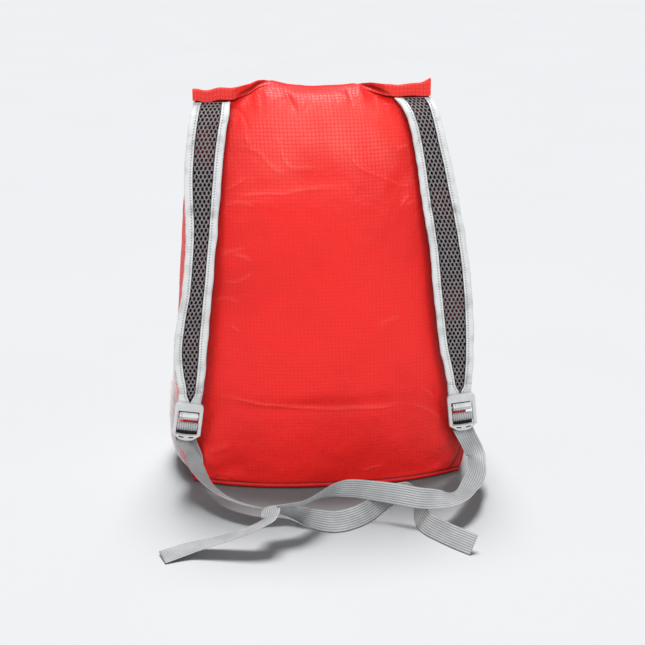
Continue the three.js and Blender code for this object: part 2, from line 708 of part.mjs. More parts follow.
// Ladder lock in its own frame: X across, Z up, the front face towards -Y
function buckleGeometry() {
  const outline = buckleOutline();
  outline.holes.push(buckleWindow());
  const frame = new THREE.ExtrudeGeometry(outline, {
    depth: buckleThickness - 2 * buckleBevel,
    bevelThickness: buckleBevel,
    bevelSize: buckleBevel,
    bevelOffset: -buckleBevel,
    bevelSegments: 1,
    curveSegments: 4,
  });
  frame.translate(0, 0, buckleBevel - buckleThickness / 2).rotateX(Math.PI / 2);
  let solid = toSolid(frame);
  const bars = [[strapBarRadius, strapBarZ], [webbingBarRadius, webbingBarZ]];
  for (const [radius, rise] of bars) {
    const bar = new THREE.CylinderGeometry(radius, radius, 2 * openingHalfWidth + buckleSide, barSides);
    bar.rotateZ(Math.PI / 2).translate(0, 0, rise);
    solid = solid.add(toSolid(bar));
  }
  for (const sign of [-1, 1]) {
    const cutter = new THREE.ExtrudeGeometry(lipSlot(sign), {
      depth: 2 * buckleThickness,
      bevelEnabled: false,
      curveSegments: 4,
    });
    cutter.translate(0, 0, -buckleThickness).rotateX(Math.PI / 2);
    solid = solid.subtract(toSolid(cutter));
  }
  return fromSolid(solid);
}

// Points [out, rise] round a bar from one angle to another, 0 behind it, 90 above, 180 in front
function roundBar(rise, radius, from, to) {
  return Array.from({ length: loopSteps + 1 }, (_, k) => {
    const angle = THREE.MathUtils.degToRad(THREE.MathUtils.lerp(from, to, k / loopSteps));
    return [radius * Math.cos(angle), rise + radius * Math.sin(angle)];
  });
}

// Route of the strap's end tape: down behind the top plate, over the front of the upper bar and back up
function tabStations(side) {
  const matrix = buckleMatrix(side);
  const across = new THREE.Vector3(1, 0, 0).transformDirection(matrix);
  const behind = buckleThickness / 2 + lapClearance + strapThickness / 2;
  const lean = THREE.MathUtils.degToRad(Math.abs(strapSides[side].lean));
  const start = buckleHeight / 2 - middle * buckleTopPlate - seamGap - (tabWidth / 2) * Math.sin(lean);
  const radius = strapBarRadius + webbingPlay + webbingThickness / 2;
  const route = [
    [behind, start],
    [behind - tabRoute.edgeIn, openingTop - lapClearance],
    ...roundBar(strapBarZ, radius, tabRoute.from, tabRoute.to),
    [behind - tabRoute.leaveIn, strapBarZ - radius - tabRoute.leaveDrop],
    [behind + tabRoute.backOut, strapBarZ - tabRoute.backDrop],
    [behind + tabRoute.riseOut, strapBarZ + tabRoute.riseUp],
    [behind + tabRoute.endOut, start - tabRoute.endDrop],
  ];
  return route.map(([y, z]) => ({ centre: new THREE.Vector3(0, y, z).applyMatrix4(matrix), across }));
}

// Route of one webbing: sewn to the bag's lower seam, up behind its buckle, over the lower bar, down
// behind the lip, and away as a loose tail
function webbingStations(side) {
  const matrix = buckleMatrix(side);
  const { sign } = strapSides[side];
  const across = new THREE.Vector3(1, 0, 0).transformDirection(matrix);
  const place = ([y, z]) => ({ centre: new THREE.Vector3(0, y, z).applyMatrix4(matrix), across });
  const u = middle + sign * anchorAcross / 2;
  const sewn = [anchorUp - anchorLap, anchorUp].map((t) => {
    const normal = wallNormal(walls[0], u, t);
    const centre = backPoint(u, t).addScaledVector(normal, webbingThickness + anchorGap);
    return { centre, across: new THREE.Vector3(0, 0, 1).cross(normal).normalize() };
  });
  const radius = webbingBarRadius + webbingPlay + webbingThickness / 2;
  const behind = buckleThickness / 2 + webbingThickness + lapClearance / 2;
  const foot = -buckleHeight / 2;
  const inBuckle = [
    [behind + webbingRoute.footOut, foot],
    [behind + webbingRoute.riseOut, webbingBarZ - webbingRoute.riseDrop],
    ...roundBar(webbingBarZ, radius, webbingRoute.from, webbingRoute.to),
    [behind - webbingRoute.leaveIn, webbingBarZ - radius - webbingRoute.leaveDrop],
    [behind, openingBottom - webbingRoute.lipDrop],
    [behind + webbingPlay, foot],
  ].map(place);
  return [...sewn, ...inBuckle, ...tailStations(side, inBuckle.at(-1))];
}

// Loose tail: a smooth curve through the rows of its table, with the roll about its length between them
function tailStations(side, start) {
  const rows = tailRows[side];
  const plane = bagDepth * strapRows[0].out;
  const roll = (row) => THREE.MathUtils.degToRad(row.turn);
  const points = rows.map((row) => new THREE.Vector3(
    bagWidth * row.across,
    plane - tailReach * row.out,
    webbingWidth * (row.lift + Math.abs(Math.sin(roll(row))) / 2)
      + Math.abs(Math.cos(roll(row))) * webbingThickness / 2,
  ));
  const curve = new THREE.CatmullRomCurve3([start.centre, ...points], false, 'centripetal');
  const turns = [rows[0], ...rows].map((row, k) => ({ at: k, turn: k === 0 ? 180 : row.turn }));
  const count = 2 * rows.length;
  return Array.from({ length: count }, (_, k) => {
    const at = (k + 1) / count;
    const along = curve.getTangent(at);
    const level = along.clone().setZ(0).normalize().cross(new THREE.Vector3(0, 0, 1));
    const upright = level.clone().cross(along);
    const angle = THREE.MathUtils.degToRad(readTable(turns, at * rows.length, 'turn'));
    const across = level.multiplyScalar(Math.cos(angle)).addScaledVector(upright, Math.sin(angle));
    return { centre: curve.getPoint(at), across };
  });
}

const materials = {
  ripstop: new THREE.MeshStandardMaterial({ color: '#ec2f2b', roughness: 0.62, metalness: 0 }),
  airMesh: new THREE.MeshStandardMaterial({ color: '#5c5b60', roughness: 0.85, metalness: 0 }),
  binding: new THREE.MeshStandardMaterial({ color: '#dadbdc', roughness: 0.8, metalness: 0 }),
  plastic: new THREE.MeshStandardMaterial({ color: '#bfc0c2', roughness: 0.5, metalness: 0 }),
  webbing: new THREE.MeshStandardMaterial({ color: '#b9babb', roughness: 0.8, metalness: 0 }),
  net: new THREE.MeshStandardMaterial({ color: '#e8e0df', roughness: 0.85, metalness: 0 }),
};

function namedMesh(name, geometry, material) {
  const mesh = new THREE.Mesh(geometry, material.clone());
  mesh.name = name;
  return mesh;
}

const backpack = new THREE.Group();

const shell = new THREE.Group();
walls.forEach((wall, k) => {
  shell.add(namedMesh(wall.name, wallGeometry(k, wall.columns, wall.rows), materials.ripstop));
});
shell.add(namedMesh('bottom_panel', bottomGeometry(), materials.ripstop));
shell.add(namedMesh('top_band', bandGeometry(), materials.ripstop));
shell.add(namedMesh('left_side_pocket', pocketGeometry(), materials.net));
backpack.add(shell);

for (const side of Object.keys(strapSides)) {
  const strap = new THREE.Group();
  const { sign } = strapSides[side];
  strap.add(namedMesh(`${side}_strap_mesh`, strapMeshGeometry(side), materials.airMesh));
  strap.add(namedMesh(`${side}_outer_binding`, bindingGeometry(side, sign), materials.binding));
  strap.add(namedMesh(`${side}_inner_binding`, bindingGeometry(side, -sign), materials.binding));
  const tab = ribbonGeometry(tabStations(side), tabWidth, webbingThickness);
  const webbing = ribbonGeometry(webbingStations(side), webbingWidth, webbingThickness);
  strap.add(namedMesh(`${side}_strap_tab`, tab, materials.binding));
  strap.add(namedMesh(`${side}_webbing`, webbing, materials.webbing));
  const buckle = namedMesh(`${side}_buckle`, buckleGeometry(), materials.plastic);
  buckle.applyMatrix4(buckleMatrix(side));
  strap.add(buckle);
  backpack.add(strap);
}

export default backpack;
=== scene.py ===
import bpy
import bmesh
import numpy as np
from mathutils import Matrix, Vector


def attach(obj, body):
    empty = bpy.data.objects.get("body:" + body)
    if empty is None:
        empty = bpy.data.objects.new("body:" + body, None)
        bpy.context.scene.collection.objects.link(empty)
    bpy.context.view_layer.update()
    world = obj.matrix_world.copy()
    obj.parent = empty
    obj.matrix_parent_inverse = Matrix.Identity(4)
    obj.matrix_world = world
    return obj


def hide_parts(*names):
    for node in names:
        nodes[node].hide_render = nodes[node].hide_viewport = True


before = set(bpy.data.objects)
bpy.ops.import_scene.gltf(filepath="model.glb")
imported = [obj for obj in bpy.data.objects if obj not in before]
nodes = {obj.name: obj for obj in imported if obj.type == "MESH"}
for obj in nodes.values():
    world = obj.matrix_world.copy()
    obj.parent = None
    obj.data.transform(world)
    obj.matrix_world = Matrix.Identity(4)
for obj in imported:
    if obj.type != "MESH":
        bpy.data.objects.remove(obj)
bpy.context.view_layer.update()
print("frame loaded:", len(nodes), "nodes")

# Lengths below are millimetres, and meshes are written in metres
mm = 0.001


def addObject(name, data):
    made = bpy.data.objects.new(name, data)
    bpy.context.scene.collection.objects.link(made)
    return made


camera = {"place": (-99.37, -1250.15, 599.53), "target": (3.0, -80.0, 172.0), "lens": 71.16, "sensor": 36.0}
cameraData = bpy.data.cameras.new("camera")
cameraData.lens = camera["lens"]
cameraData.sensor_width = camera["sensor"]
cameraObject = addObject("camera", cameraData)
cameraObject.location = Vector(camera["place"]) * mm
sight = (Vector(camera["target"]) - Vector(camera["place"])).normalized()
cameraObject.rotation_euler = sight.to_track_quat("-Z", "Y").to_euler()
bpy.context.scene.camera = cameraObject
print("camera placed")


# Tables: each column becomes an array that readTable can look up
def columns(names, rows):
    return dict(zip(names.split(), np.array(rows, float).T))


bag = {"width": 285.0, "depth": 160.0, "height": 391.0, "rim": 6.0, "cloth": 1.3, "gap": 0.3,
       "foldDepth": 3.0, "seamInset": 0.0016}

# At: share of the way up. Half and shift: shares of the width. Bulge and outs: shares of the depth.
# Rises: shares of the height above the rim.
sections = columns(
    "at half shift bulge seamRise seamOut backRise backOut frontRise frontOut frontSeamOut", [
        [0.00, 0.482, 0.032, 0.019, 0.000, -0.450, 0.000, -0.609, 0.000, 0.325, 0.250],
        [0.06, 0.495, 0.030, 0.038, 0.049, -0.450, 0.052, -0.616, 0.052, 0.356, 0.263],
        [0.15, 0.500, 0.028, 0.050, 0.140, -0.425, 0.145, -0.619, 0.145, 0.375, 0.269],
        [0.30, 0.491, 0.025, 0.050, 0.291, -0.394, 0.299, -0.616, 0.299, 0.381, 0.263],
        [0.45, 0.475, 0.019, 0.044, 0.442, -0.369, 0.452, -0.597, 0.452, 0.363, 0.244],
        [0.60, 0.458, 0.014, 0.038, 0.590, -0.344, 0.608, -0.563, 0.608, 0.325, 0.213],
        [0.72, 0.442, 0.010, 0.031, 0.714, -0.306, 0.738, -0.513, 0.733, 0.281, 0.169],
        [0.82, 0.423, 0.006, 0.025, 0.810, -0.256, 0.847, -0.434, 0.840, 0.225, 0.119],
        [0.90, 0.409, 0.002, 0.019, 0.894, -0.200, 0.945, -0.331, 0.918, 0.169, 0.063],
        [0.96, 0.398, -0.003, 0.012, 0.948, -0.170, 0.990, -0.206, 0.962, 0.119, 0.019],
        [1.00, 0.391, -0.005, 0.006, 0.974, -0.160, 1.000, -0.106, 0.984, 0.088, -0.012],
    ])

# At: share of the width. Rise: share of the height above the rim. Width: share of the band's width.
# Turn: degrees, 0 lies back and 90 stands up. Lead: how thick the ear is, as a share.
bandTable = columns("at rise width turn lead", [
    [-0.410, 0.974, 0.98, 90, 1], [-0.284, 0.974, 1.00, 90, 1], [-0.246, 0.981, 0.92, 80, 0.5],
    [-0.218, 0.988, 0.88, 65, 0.2], [-0.186, 1.002, 0.84, 44, 0.05], [-0.144, 1.009, 0.84, 22, 0],
    [-0.070, 1.003, 0.84, 6, 0], [0.000, 1.000, 0.84, 3, 0], [0.088, 1.002, 0.84, 5, 0],
    [0.150, 1.003, 0.84, 12, 0], [0.180, 0.993, 0.84, 38, 0.05], [0.210, 0.984, 0.88, 72, 0.3],
    [0.250, 0.979, 0.96, 90, 1], [0.320, 0.978, 1.00, 90, 1], [0.360, 0.978, 1.12, 90, 1],
    [0.394, 0.979, 1.50, 88, 1],
])

# Shoulder straps
strap = {"width": 37.0, "thickness": 3.8, "wall": 0.9, "binding": 8.5, "tipFrom": 0.010, "tipTo": 0.046,
         "steps": 200, "crossSeam": 13.5, "seamRise": 0.6}
strapTable = columns("at out leftCentre leftWidth rightCentre rightWidth", [
    [0.000, -0.556, -0.454, 0.630, 0.494, 0.650],
    [0.030, -0.556, -0.450, 0.643, 0.491, 0.660],
    [0.062, -0.556, -0.447, 0.670, 0.489, 0.700],
    [0.115, -0.556, -0.447, 0.781, 0.484, 0.803],
    [0.200, -0.554, -0.444, 0.873, 0.474, 0.938],
    [0.304, -0.548, -0.431, 0.849, 0.464, 1.000],
    [0.408, -0.538, -0.414, 0.786, 0.453, 1.027],
    [0.512, -0.518, -0.402, 0.789, 0.441, 1.008],
    [0.616, -0.486, -0.392, 0.824, 0.424, 0.986],
    [0.720, -0.434, -0.387, 0.914, 0.406, 0.951],
    [0.790, -0.397, -0.382, 0.959, 0.395, 0.916],
    [0.860, -0.352, -0.374, 0.976, 0.382, 0.873],
    [0.911, -0.315, -0.366, 0.989, 0.372, 0.865],
    [0.963, -0.262, -0.355, 0.997, 0.357, 0.910],
    [1.000, -0.180, -0.346, 0.957, 0.336, 1.000],
])

# Main folds of the back panel, the same as the solid's
foldTable = [
    {"across": -0.05, "up": 0.222, "length": 0.34, "width": 0.030, "angle": 2, "depth": -0.75},
    {"across": 0.00, "up": 0.255, "length": 0.36, "width": 0.045, "angle": -1, "depth": 0.55},
    {"across": -0.25, "up": 0.950, "length": 0.07, "width": 0.030, "angle": -60, "depth": -1.1},
    {"across": 0.34, "up": 0.950, "length": 0.06, "width": 0.030, "angle": -68, "depth": -1.0},
    {"across": -0.20, "up": 0.775, "length": 0.18, "width": 0.030, "angle": 4, "depth": -0.6},
    {"across": 0.05, "up": 0.840, "length": 0.10, "width": 0.030, "angle": -6, "depth": 0.5},
    {"across": -0.62, "up": 0.600, "length": 0.09, "width": 0.035, "angle": 24, "depth": 0.8},
    {"across": 0.66, "up": 0.790, "length": 0.08, "width": 0.035, "angle": 52, "depth": -0.8},
    {"across": -0.72, "up": 0.045, "length": 0.07, "width": 0.030, "angle": 30, "depth": -0.9},
    {"across": 0.86, "up": 0.060, "length": 0.07, "width": 0.035, "angle": 52, "depth": -1.2},
]


def lerp(a, b, f):
    return a + (b - a) * f


# Vectors brought to length 1, with least added to each length where one may be 0
def unit(vectors, least=0.0):
    return vectors / (np.linalg.norm(vectors, axis=-1, keepdims=True) + least)


# Smooth step: 3f^2 - 2f^3 of the place between low and high, held at 0 and 1 outside them
def smoothStep(x, low, high):
    f = np.clip((x - low) / (high - low), 0, 1)
    return f * f * (3 - 2 * f)


# Mask that rises from 0 to 1 between the first two places and falls again between the last two
def between(x, start, full, fading, end):
    return smoothStep(x, start, full) * (1 - smoothStep(x, fading, end))


def together(*values):
    return np.broadcast_arrays(*(np.asarray(value, float) for value in values))


# Distance from a line's first point to each of its points
def distancesAlong(points):
    return np.concatenate([[0], np.cumsum(np.linalg.norm(np.diff(points, axis=0), axis=-1))])


def mapValues(across, along):
    return np.stack(np.broadcast_arrays(across, along), -1) * mm


# Cubic Hermite curve through a column, whose slope at a row is the harmonic mean of those beside it
def readTable(table, name, at):
    x, y = table["at"], table[name]
    slope = np.diff(y) / np.diff(x)
    before, after = slope[:-1], slope[1:]
    same = before * after > 0
    mean = np.where(same, 2 * before * after / np.where(same, before + after, 1), 0)
    bend = np.concatenate([slope[:1], mean, slope[-1:]])
    place = np.clip(at, x[0], x[-1])
    k = np.clip(np.searchsorted(x, place, side="right") - 1, 0, len(x) - 2)
    step = x[k + 1] - x[k]
    f = (place - x[k]) / step
    rise = 2 * f ** 3 - 3 * f ** 2 + 1
    return (rise * y[k] + (1 - rise) * y[k + 1] + step * (f ** 3 - 2 * f ** 2 + f) * bend[k]
            + step * (f ** 3 - f ** 2) * bend[k + 1])


def readAll(table, at):
    return {name: readTable(table, name, at) for name in table if name != "at"}


def riseOf(share):
    return bag["rim"] + share * (bag["height"] - bag["rim"])


def bandRise(x):
    return riseOf(readTable(bandTable, "rise", x / bag["width"]))


# Fold height at half-width share s and height share t: a bell across each fold's line, faded at its ends
def mainFolds(s, t):
    height = np.zeros(np.broadcast(s, t).shape)
    for fold in foldTable:
        x = (s - fold["across"]) / 2
        z = (t - fold["up"]) * bag["height"] / bag["width"]
        angle = np.radians(fold["angle"])
        along = (x * np.cos(angle) + z * np.sin(angle)) / fold["length"]
        aside = (z * np.cos(angle) - x * np.sin(angle)) / fold["width"]
        height += bag["foldDepth"] * fold["depth"] * np.exp(-aside ** 2 - along ** 4)
    return height


# Fine creases of the back panel. Path: places (half-width share, height share). Width and height in
# millimetres: + stands out, - is pressed in. Sharp: 0 for a round wave, 1 for a pinched ridge. Shade: a
# painted shade along the crease. Raised creases also get a painted highlight along them.
creases = [
    {"path": [(-0.255, 0.993), (-0.210, 0.940), (-0.155, 0.909)], "width": 3.1, "height": -1.95, "sharp": 0.4},
    {"path": [(0.292, 0.997), (0.298, 0.946), (0.315, 0.922)], "width": 2.9, "height": -1.56, "sharp": 0.4},
    {"path": [(-0.057, 1.000), (-0.065, 0.930), (-0.115, 0.907)], "width": 2.7, "height": -1.17, "sharp": 0.4},
    {"path": [(0.143, 0.995), (0.280, 0.946), (0.400, 0.924)], "width": 3.6, "height": 0.73, "sharp": 0.3},
    {"path": [(-0.597, 0.885), (-0.573, 0.870), (-0.547, 0.855)], "width": 1.9, "height": 0.91, "sharp": 0.5},
    {"path": [(-0.395, 0.877), (-0.318, 0.857), (-0.297, 0.834), (-0.242, 0.809), (-0.083, 0.802),
              (0.065, 0.801)], "width": 1.6, "height": 1.02, "sharp": 0.7},
    {"path": [(0.163, 0.863), (0.225, 0.838), (0.295, 0.809), (0.488, 0.787), (0.653, 0.769), (0.750, 0.769)],
     "width": 1.4, "height": 0.73, "sharp": 0.7},
    {"path": [(0.627, 0.847), (0.698, 0.856), (0.750, 0.861)], "width": 1.3, "height": 0.84, "sharp": 0.8},
    {"path": [(-0.760, 0.766), (-0.672, 0.776), (-0.560, 0.794)], "width": 1.8, "height": 1.02, "sharp": 0.5},
    {"path": [(-0.758, 0.758), (-0.580, 0.752), (-0.412, 0.754), (-0.302, 0.751), (-0.145, 0.757),
              (0.065, 0.760), (0.250, 0.761)], "width": 1.3, "height": 0.91, "sharp": 0.9},
    {"path": [(0.593, 0.716), (0.663, 0.739), (0.700, 0.746)], "width": 1.4, "height": 0.84, "sharp": 0.8},
    {"path": [(0.643, 0.723), (0.690, 0.728), (0.738, 0.732)], "width": 1.3, "height": 0.73, "sharp": 0.8},
    {"path": [(-0.770, 0.611), (-0.705, 0.622), (-0.555, 0.630)], "width": 1.8, "height": 1.19, "sharp": 0.5},
    {"path": [(-0.695, 0.619), (-0.597, 0.612), (-0.515, 0.599)], "width": 1.6, "height": 0.91, "sharp": 0.7},
    {"path": [(-0.775, 0.549), (-0.650, 0.549), (-0.560, 0.563), (-0.520, 0.573)], "width": 1.7, "height": 1.19,
     "sharp": 0.6},
    {"path": [(-0.693, 0.441), (-0.650, 0.431), (-0.610, 0.420)], "width": 1.4, "height": 0.55, "sharp": 0.7},
    {"path": [(-0.840, 0.245), (-0.732, 0.248), (-0.605, 0.241), (-0.485, 0.231), (-0.285, 0.224),
              (0.010, 0.214), (0.220, 0.215), (0.375, 0.213), (0.500, 0.218), (0.595, 0.215)], "width": 1.9,
     "height": 1.28, "sharp": 0.8},
    {"path": [(0.545, 0.217), (0.685, 0.200), (0.782, 0.173), (0.825, 0.151)], "width": 1.6, "height": 0.84,
     "sharp": 0.7},
    {"path": [(0.655, 0.258), (0.740, 0.236), (0.755, 0.219)], "width": 1.4, "height": 0.64, "sharp": 0.7},
    {"path": [(0.357, 0.433), (0.440, 0.442), (0.562, 0.454)], "width": 2.7, "height": 0.55, "sharp": 0.4},
    {"path": [(0.220, 0.035), (0.308, 0.045), (0.395, 0.050)], "width": 1.4, "height": 0.73, "sharp": 0.7},
    {"path": [(-0.870, 0.088), (-0.782, 0.102), (-0.680, 0.118)], "width": 3.6, "height": 1.10, "sharp": 0.3},
    {"path": [(-0.722, 0.983), (-0.617, 0.936), (-0.573, 0.904), (-0.557, 0.879)], "width": 2.6, "height": -1.0,
     "sharp": 0.5},
    {"path": [(-0.660, 0.861), (-0.485, 0.844), (-0.355, 0.805), (-0.247, 0.791)], "width": 2.2, "height": 0.80,
     "sharp": 0.5},
    {"path": [(-0.755, 0.732), (-0.620, 0.736), (-0.500, 0.727)], "width": 1.5, "height": 0.50, "sharp": 0.7},
    {"path": [(-0.845, 0.498), (-0.700, 0.507), (-0.615, 0.496)], "width": 1.7, "height": 0.60, "sharp": 0.6},
    {"path": [(0.985, 0.100), (0.978, 0.076), (0.958, 0.045), (0.933, 0.013), (0.915, 0.002)], "width": 1.4,
     "height": -1.6, "sharp": 0.6, "shade": 0.95},
    {"path": [(-0.860, 0.004), (-0.815, 0.013), (-0.770, 0.012), (-0.700, 0.005), (-0.620, 0.002)],
     "width": 1.3, "height": -1.0, "sharp": 0.6, "shade": 0.55},
]


# Height, painted shade and painted highlight (glint) of the fine creases: for each, the distance to its
# smoothed path gives a round or pinched ridge that fades out towards both ends
def fineCreases(s, t):
    x = s * 0.5 * bag["width"]
    z = t * bag["height"]
    height, shade, glint = np.zeros(x.shape), np.zeros(x.shape), np.zeros(x.shape)
    for crease in creases:
        path = spline(np.array(crease["path"]) * [0.5 * bag["width"], bag["height"]], 8)
        a, b = path[:-1], path[1:]
        low, high = path.min(0) - 5 * crease["width"], path.max(0) + 5 * crease["width"]
        near = (x > low[0]) & (x < high[0]) & (z > low[1]) & (z < high[1])
        here = np.stack([x[near], z[near]], -1)[:, None]
        d = b - a
        f = np.clip(((here - a) * d).sum(-1) / (d ** 2).sum(-1), 0, 1)
        gap = np.linalg.norm(here - a - f[..., None] * d, axis=-1)
        nearest = gap.argmin(1)
        pick = np.arange(len(gap))
        along = (nearest + f[pick, nearest]) / len(a)
        aside = gap[pick, nearest] / crease["width"]
        shape = lerp(np.exp(-aside ** 2), np.exp(-1.4 * aside), crease["sharp"])
        fade = between(along, 0, 0.3, 0.7, 1)
        height[near] += crease["height"] * shape * fade
        shade[near] += crease.get("shade", 0) * shape * smoothStep(along, 0, 0.12)
        pale = crease.get("glint", 0.45 * crease["sharp"] * (crease["height"] > 0))
        glint[near] += pale * np.exp(-2.0 * aside) * fade
    return height, shade, glint


# Random but repeatable gentle swell: a sum of sine waves whose lengths lie between shortest and longest
def ripple(x, z, seed, shortest, longest, waves=14):
    pick = np.random.default_rng(seed)
    total = np.zeros(np.broadcast(x, z).shape)
    for _ in range(waves):
        length = shortest * (longest / shortest) ** pick.random()
        angle = pick.uniform(0, np.pi)
        phase = pick.uniform(0, 2 * np.pi)
        total += np.sin(2 * np.pi * (x * np.cos(angle) + z * np.sin(angle)) / length + phase) * length / longest
    return total / np.sqrt(waves)


# Swells of the cloth: height, seed, and shortest and longest wave, in millimetres
swells = {
    "panel": (0.7, 4, 30, 120), "panelFine": (0.2, 9, 12, 34), "pleats": (0.32, 12, 6, 15),
    "front": (1.1, 21, 35, 150), "frontFine": (0.25, 22, 14, 40), "side": (0.9, 31, 30, 110),
    "sideFine": (0.2, 35, 12, 34), "shoulder": (0.5, 81, 18, 60), "bandFoot": (0.3, 51, 18, 60),
    "bandFace": (0.35, 53, 7, 30), "pucker": (0.55, 61, 8, 26), "puckerFine": (0.30, 65, 4, 9),
    "tapeEdge": (0.6, 71, 12, 50), "tapeDentShade": (1.0, 75, 9, 34),
}


def swell(name, x, z, variant=0):
    height, seed, shortest, longest = swells[name]
    return height * ripple(x, z, seed + variant, shortest, longest)


# Centripetal spline through points, with some steps between each two of them
def spline(points, steps):
    points = np.asarray(points, float)
    ends = np.vstack([2 * points[0] - points[1], points, 2 * points[-1] - points[-2]])
    p0, p1, p2, p3 = ends[:-3, None], ends[1:-2, None], ends[2:-1, None], ends[3:, None]
    g0, g1, g2 = (np.sqrt(np.linalg.norm(b - a, axis=-1, keepdims=True)) + 1e-6
                  for a, b in ((p0, p1), (p1, p2), (p2, p3)))
    m1 = ((p1 - p0) / g0 - (p2 - p0) / (g0 + g1) + (p2 - p1) / g1) * g1
    m2 = ((p2 - p1) / g1 - (p3 - p1) / (g1 + g2) + (p3 - p2) / g2) * g1
    f = (np.arange(steps) / steps)[None, :, None]
    curve = p1 + m1 * f + (3 * (p2 - p1) - 2 * m1 - m2) * f ** 2 + (2 * (p1 - p2) + m1 + m2) * f ** 3
    return np.vstack([curve.reshape(-1, points.shape[1]), points[-1:]])


# Back panel: out goes from the middle's to the seam's with the power of the half-width share, and near
# the top the rise follows the band's edge
def backPoint(s, t, fine=False):
    s, t = together(s, t)
    at = readAll(sections, t)
    x = bag["width"] * (at["shift"] + at["half"] * s)
    blend = smoothStep(t, 0.84, 1)
    out = lerp(at["backOut"], at["seamOut"], np.abs(s) ** lerp(2.6, 1.7, blend))
    fall = np.abs(s) ** 1.6
    plain = riseOf(lerp(at["backRise"], at["seamRise"], fall))
    top = riseOf(lerp(sections["backRise"][-1], sections["seamRise"][-1], fall))
    edges = between(t, 0, 0.03, 0.97, 1) * (1 - np.abs(s) ** 6)
    fold = mainFolds(s, t) * edges
    if fine:
        fold *= 0.7
        calm = between(t, 0, 0.02, 0.985, 1) * (1 - np.abs(s) ** 10)
        wave = swell("panel", x, plain) + swell("panelFine", x, plain)
        pleats = swell("pleats", x, plain * 0.35) * smoothStep(t, 0.86, 0.96)
        fold = fold + calm * (fineCreases(s, t)[0] + wave + pleats)
    return np.stack([x, bag["depth"] * out - fold, plain + blend * (bandRise(x) - top)], -1)


# Front panel: a plain swelling sheet from seam to seam
def frontPoint(s, t):
    s, t = together(s, t)
    at = readAll(sections, t)
    aside = np.abs(s) ** 2.8
    x = bag["width"] * (at["shift"] + at["half"] * s)
    y = bag["depth"] * lerp(at["frontOut"], at["frontSeamOut"], aside)
    z = riseOf(lerp(at["frontRise"], at["seamRise"], aside))
    return np.stack([x, y, z], -1)


# Side panels: straight from the back seam (w 0) to the front seam (w 1), swollen by half a sine wave
def sidePoint(sign, w, t):
    w, t = together(w, t)
    point = lerp(backPoint(sign, t), frontPoint(sign, t), w[..., None])
    point[..., 0] += sign * bag["depth"] * readTable(sections, "bulge", t) * np.sin(np.pi * w)
    return point


# Unit normals of a grid of points, from the steps to its neighbours
def gridNormals(points):
    return unit(np.cross(np.gradient(points, axis=1), np.gradient(points, axis=0)))


# Distances along the rows and columns of a grid, measured from its middle column and first row
def clothMap(points):
    across = np.cumsum(np.linalg.norm(np.diff(points, axis=1, prepend=points[:, :1]), axis=-1), 1)
    across -= across[:, points.shape[1] // 2, None]
    up = np.cumsum(np.linalg.norm(np.diff(points, axis=0, prepend=points[:1]), axis=-1), 0)
    return mapValues(across, up)


def gridFaces(rows, cols, closed=False):
    size = cols if closed else cols - 1
    j, i = np.meshgrid(np.arange(rows - 1), np.arange(size), indexing="ij")
    a = j * cols + i
    b = j * cols + (i + 1) % cols
    return np.stack([a, b, b + cols, a + cols], -1).reshape(-1, 4)


# The two faces that shut a closed grid at its first and last rows
def endCaps(rows, count):
    return [np.arange(count)[::-1], np.arange(count) + (rows - 1) * count]


# One object from points in millimetres, faces of equal size, and one map value per point. Tones are point
# attributes from 0 to 1: the shade tone darkens a material with painted shade in folds, hollows, seams, dents,
# buckle gaps and beside the straps; ridgeGlint pales it with a painted highlight along ridges and shoulders.
def makePiece(name, points, faces, material, node=None, uv=None, thickness=0, caps=(), tones=None):
    mesh = bpy.data.meshes.new(name)
    points = np.asarray(points, float).reshape(-1, 3)
    everyFace = np.asarray(faces).tolist() + [list(map(int, c)) for c in caps]
    mesh.from_pydata(points * mm, [], everyFace)
    if uv is not None:
        corner = np.zeros(len(mesh.loops), int)
        mesh.loops.foreach_get("vertex_index", corner)
        layer = mesh.uv_layers.new(name="clothMap")
        layer.data.foreach_set("uv", uv.reshape(-1, 2)[corner].astype(np.float32).ravel())
    for toneName, tone in (tones or {}).items():
        layer = mesh.attributes.new(toneName, "FLOAT", "POINT")
        layer.data.foreach_set("value", np.clip(tone, 0, 1).astype(np.float32).ravel())
    mesh.polygons.foreach_set("use_smooth", np.ones(len(mesh.polygons), bool))
    mesh.materials.append(material)
    mesh.update()
    piece = addObject(name, mesh)
    if thickness:
        wall = piece.modifiers.new("wall", "SOLIDIFY")
        wall.thickness = thickness * mm
        wall.offset = -1
    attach(piece, "root")
    if node:
        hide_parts(node)
    return piece


# A sheet of cloth on a grid, turned so that its faces look away from the bag's inside
def clothSheet(name, points, material, node, thickness=bag["cloth"], tones=None):
    inside = np.array([5.0, -15.0, 200.0])
    outward = ((points - inside) * gridNormals(points)).sum()
    if outward > 0:
        points = points[:, ::-1]
        tones = {key: tone[:, ::-1] for key, tone in (tones or {}).items()}
    rows, cols = points.shape[:2]
    return makePiece(name, points, gridFaces(rows, cols), material, node, clothMap(points), thickness,
                     tones=tones)


# Each named input of a node gets the socket that is linked to it, or the plain value
def wire(tree, made, sockets):
    for key, value in sockets.items():
        if isinstance(value, bpy.types.NodeSocket):
            tree.links.new(value, made.inputs[key])
        else:
            made.inputs[key].default_value = value
    return made


def put(tree, kind, sockets=None, **options):
    made = tree.nodes.new(kind)
    for key, value in options.items():
        setattr(made, key, value)
    return wire(tree, made, sockets or {})


def calc(tree, operation, *values):
    return put(tree, "ShaderNodeMath", dict(enumerate(values)), operation=operation).outputs[0]


def times(tree, a, b):
    return calc(tree, "MULTIPLY", a, b)


def plus(tree, a, b):
    return calc(tree, "ADD", a, b)


def minus(tree, a, b):
    return calc(tree, "SUBTRACT", a, b)


def mixColour(tree, factor, first, second):
    return put(tree, "ShaderNodeMix", {0: factor, 6: first, 7: second}, data_type="RGBA").outputs[2]


# Smooth mask that goes from 0 where value is low to 1 where it is high
def spread(tree, value, low, high):
    return put(tree, "ShaderNodeMapRange", {0: value, 1: low, 2: high},
               interpolation_type="SMOOTHSTEP").outputs[0]


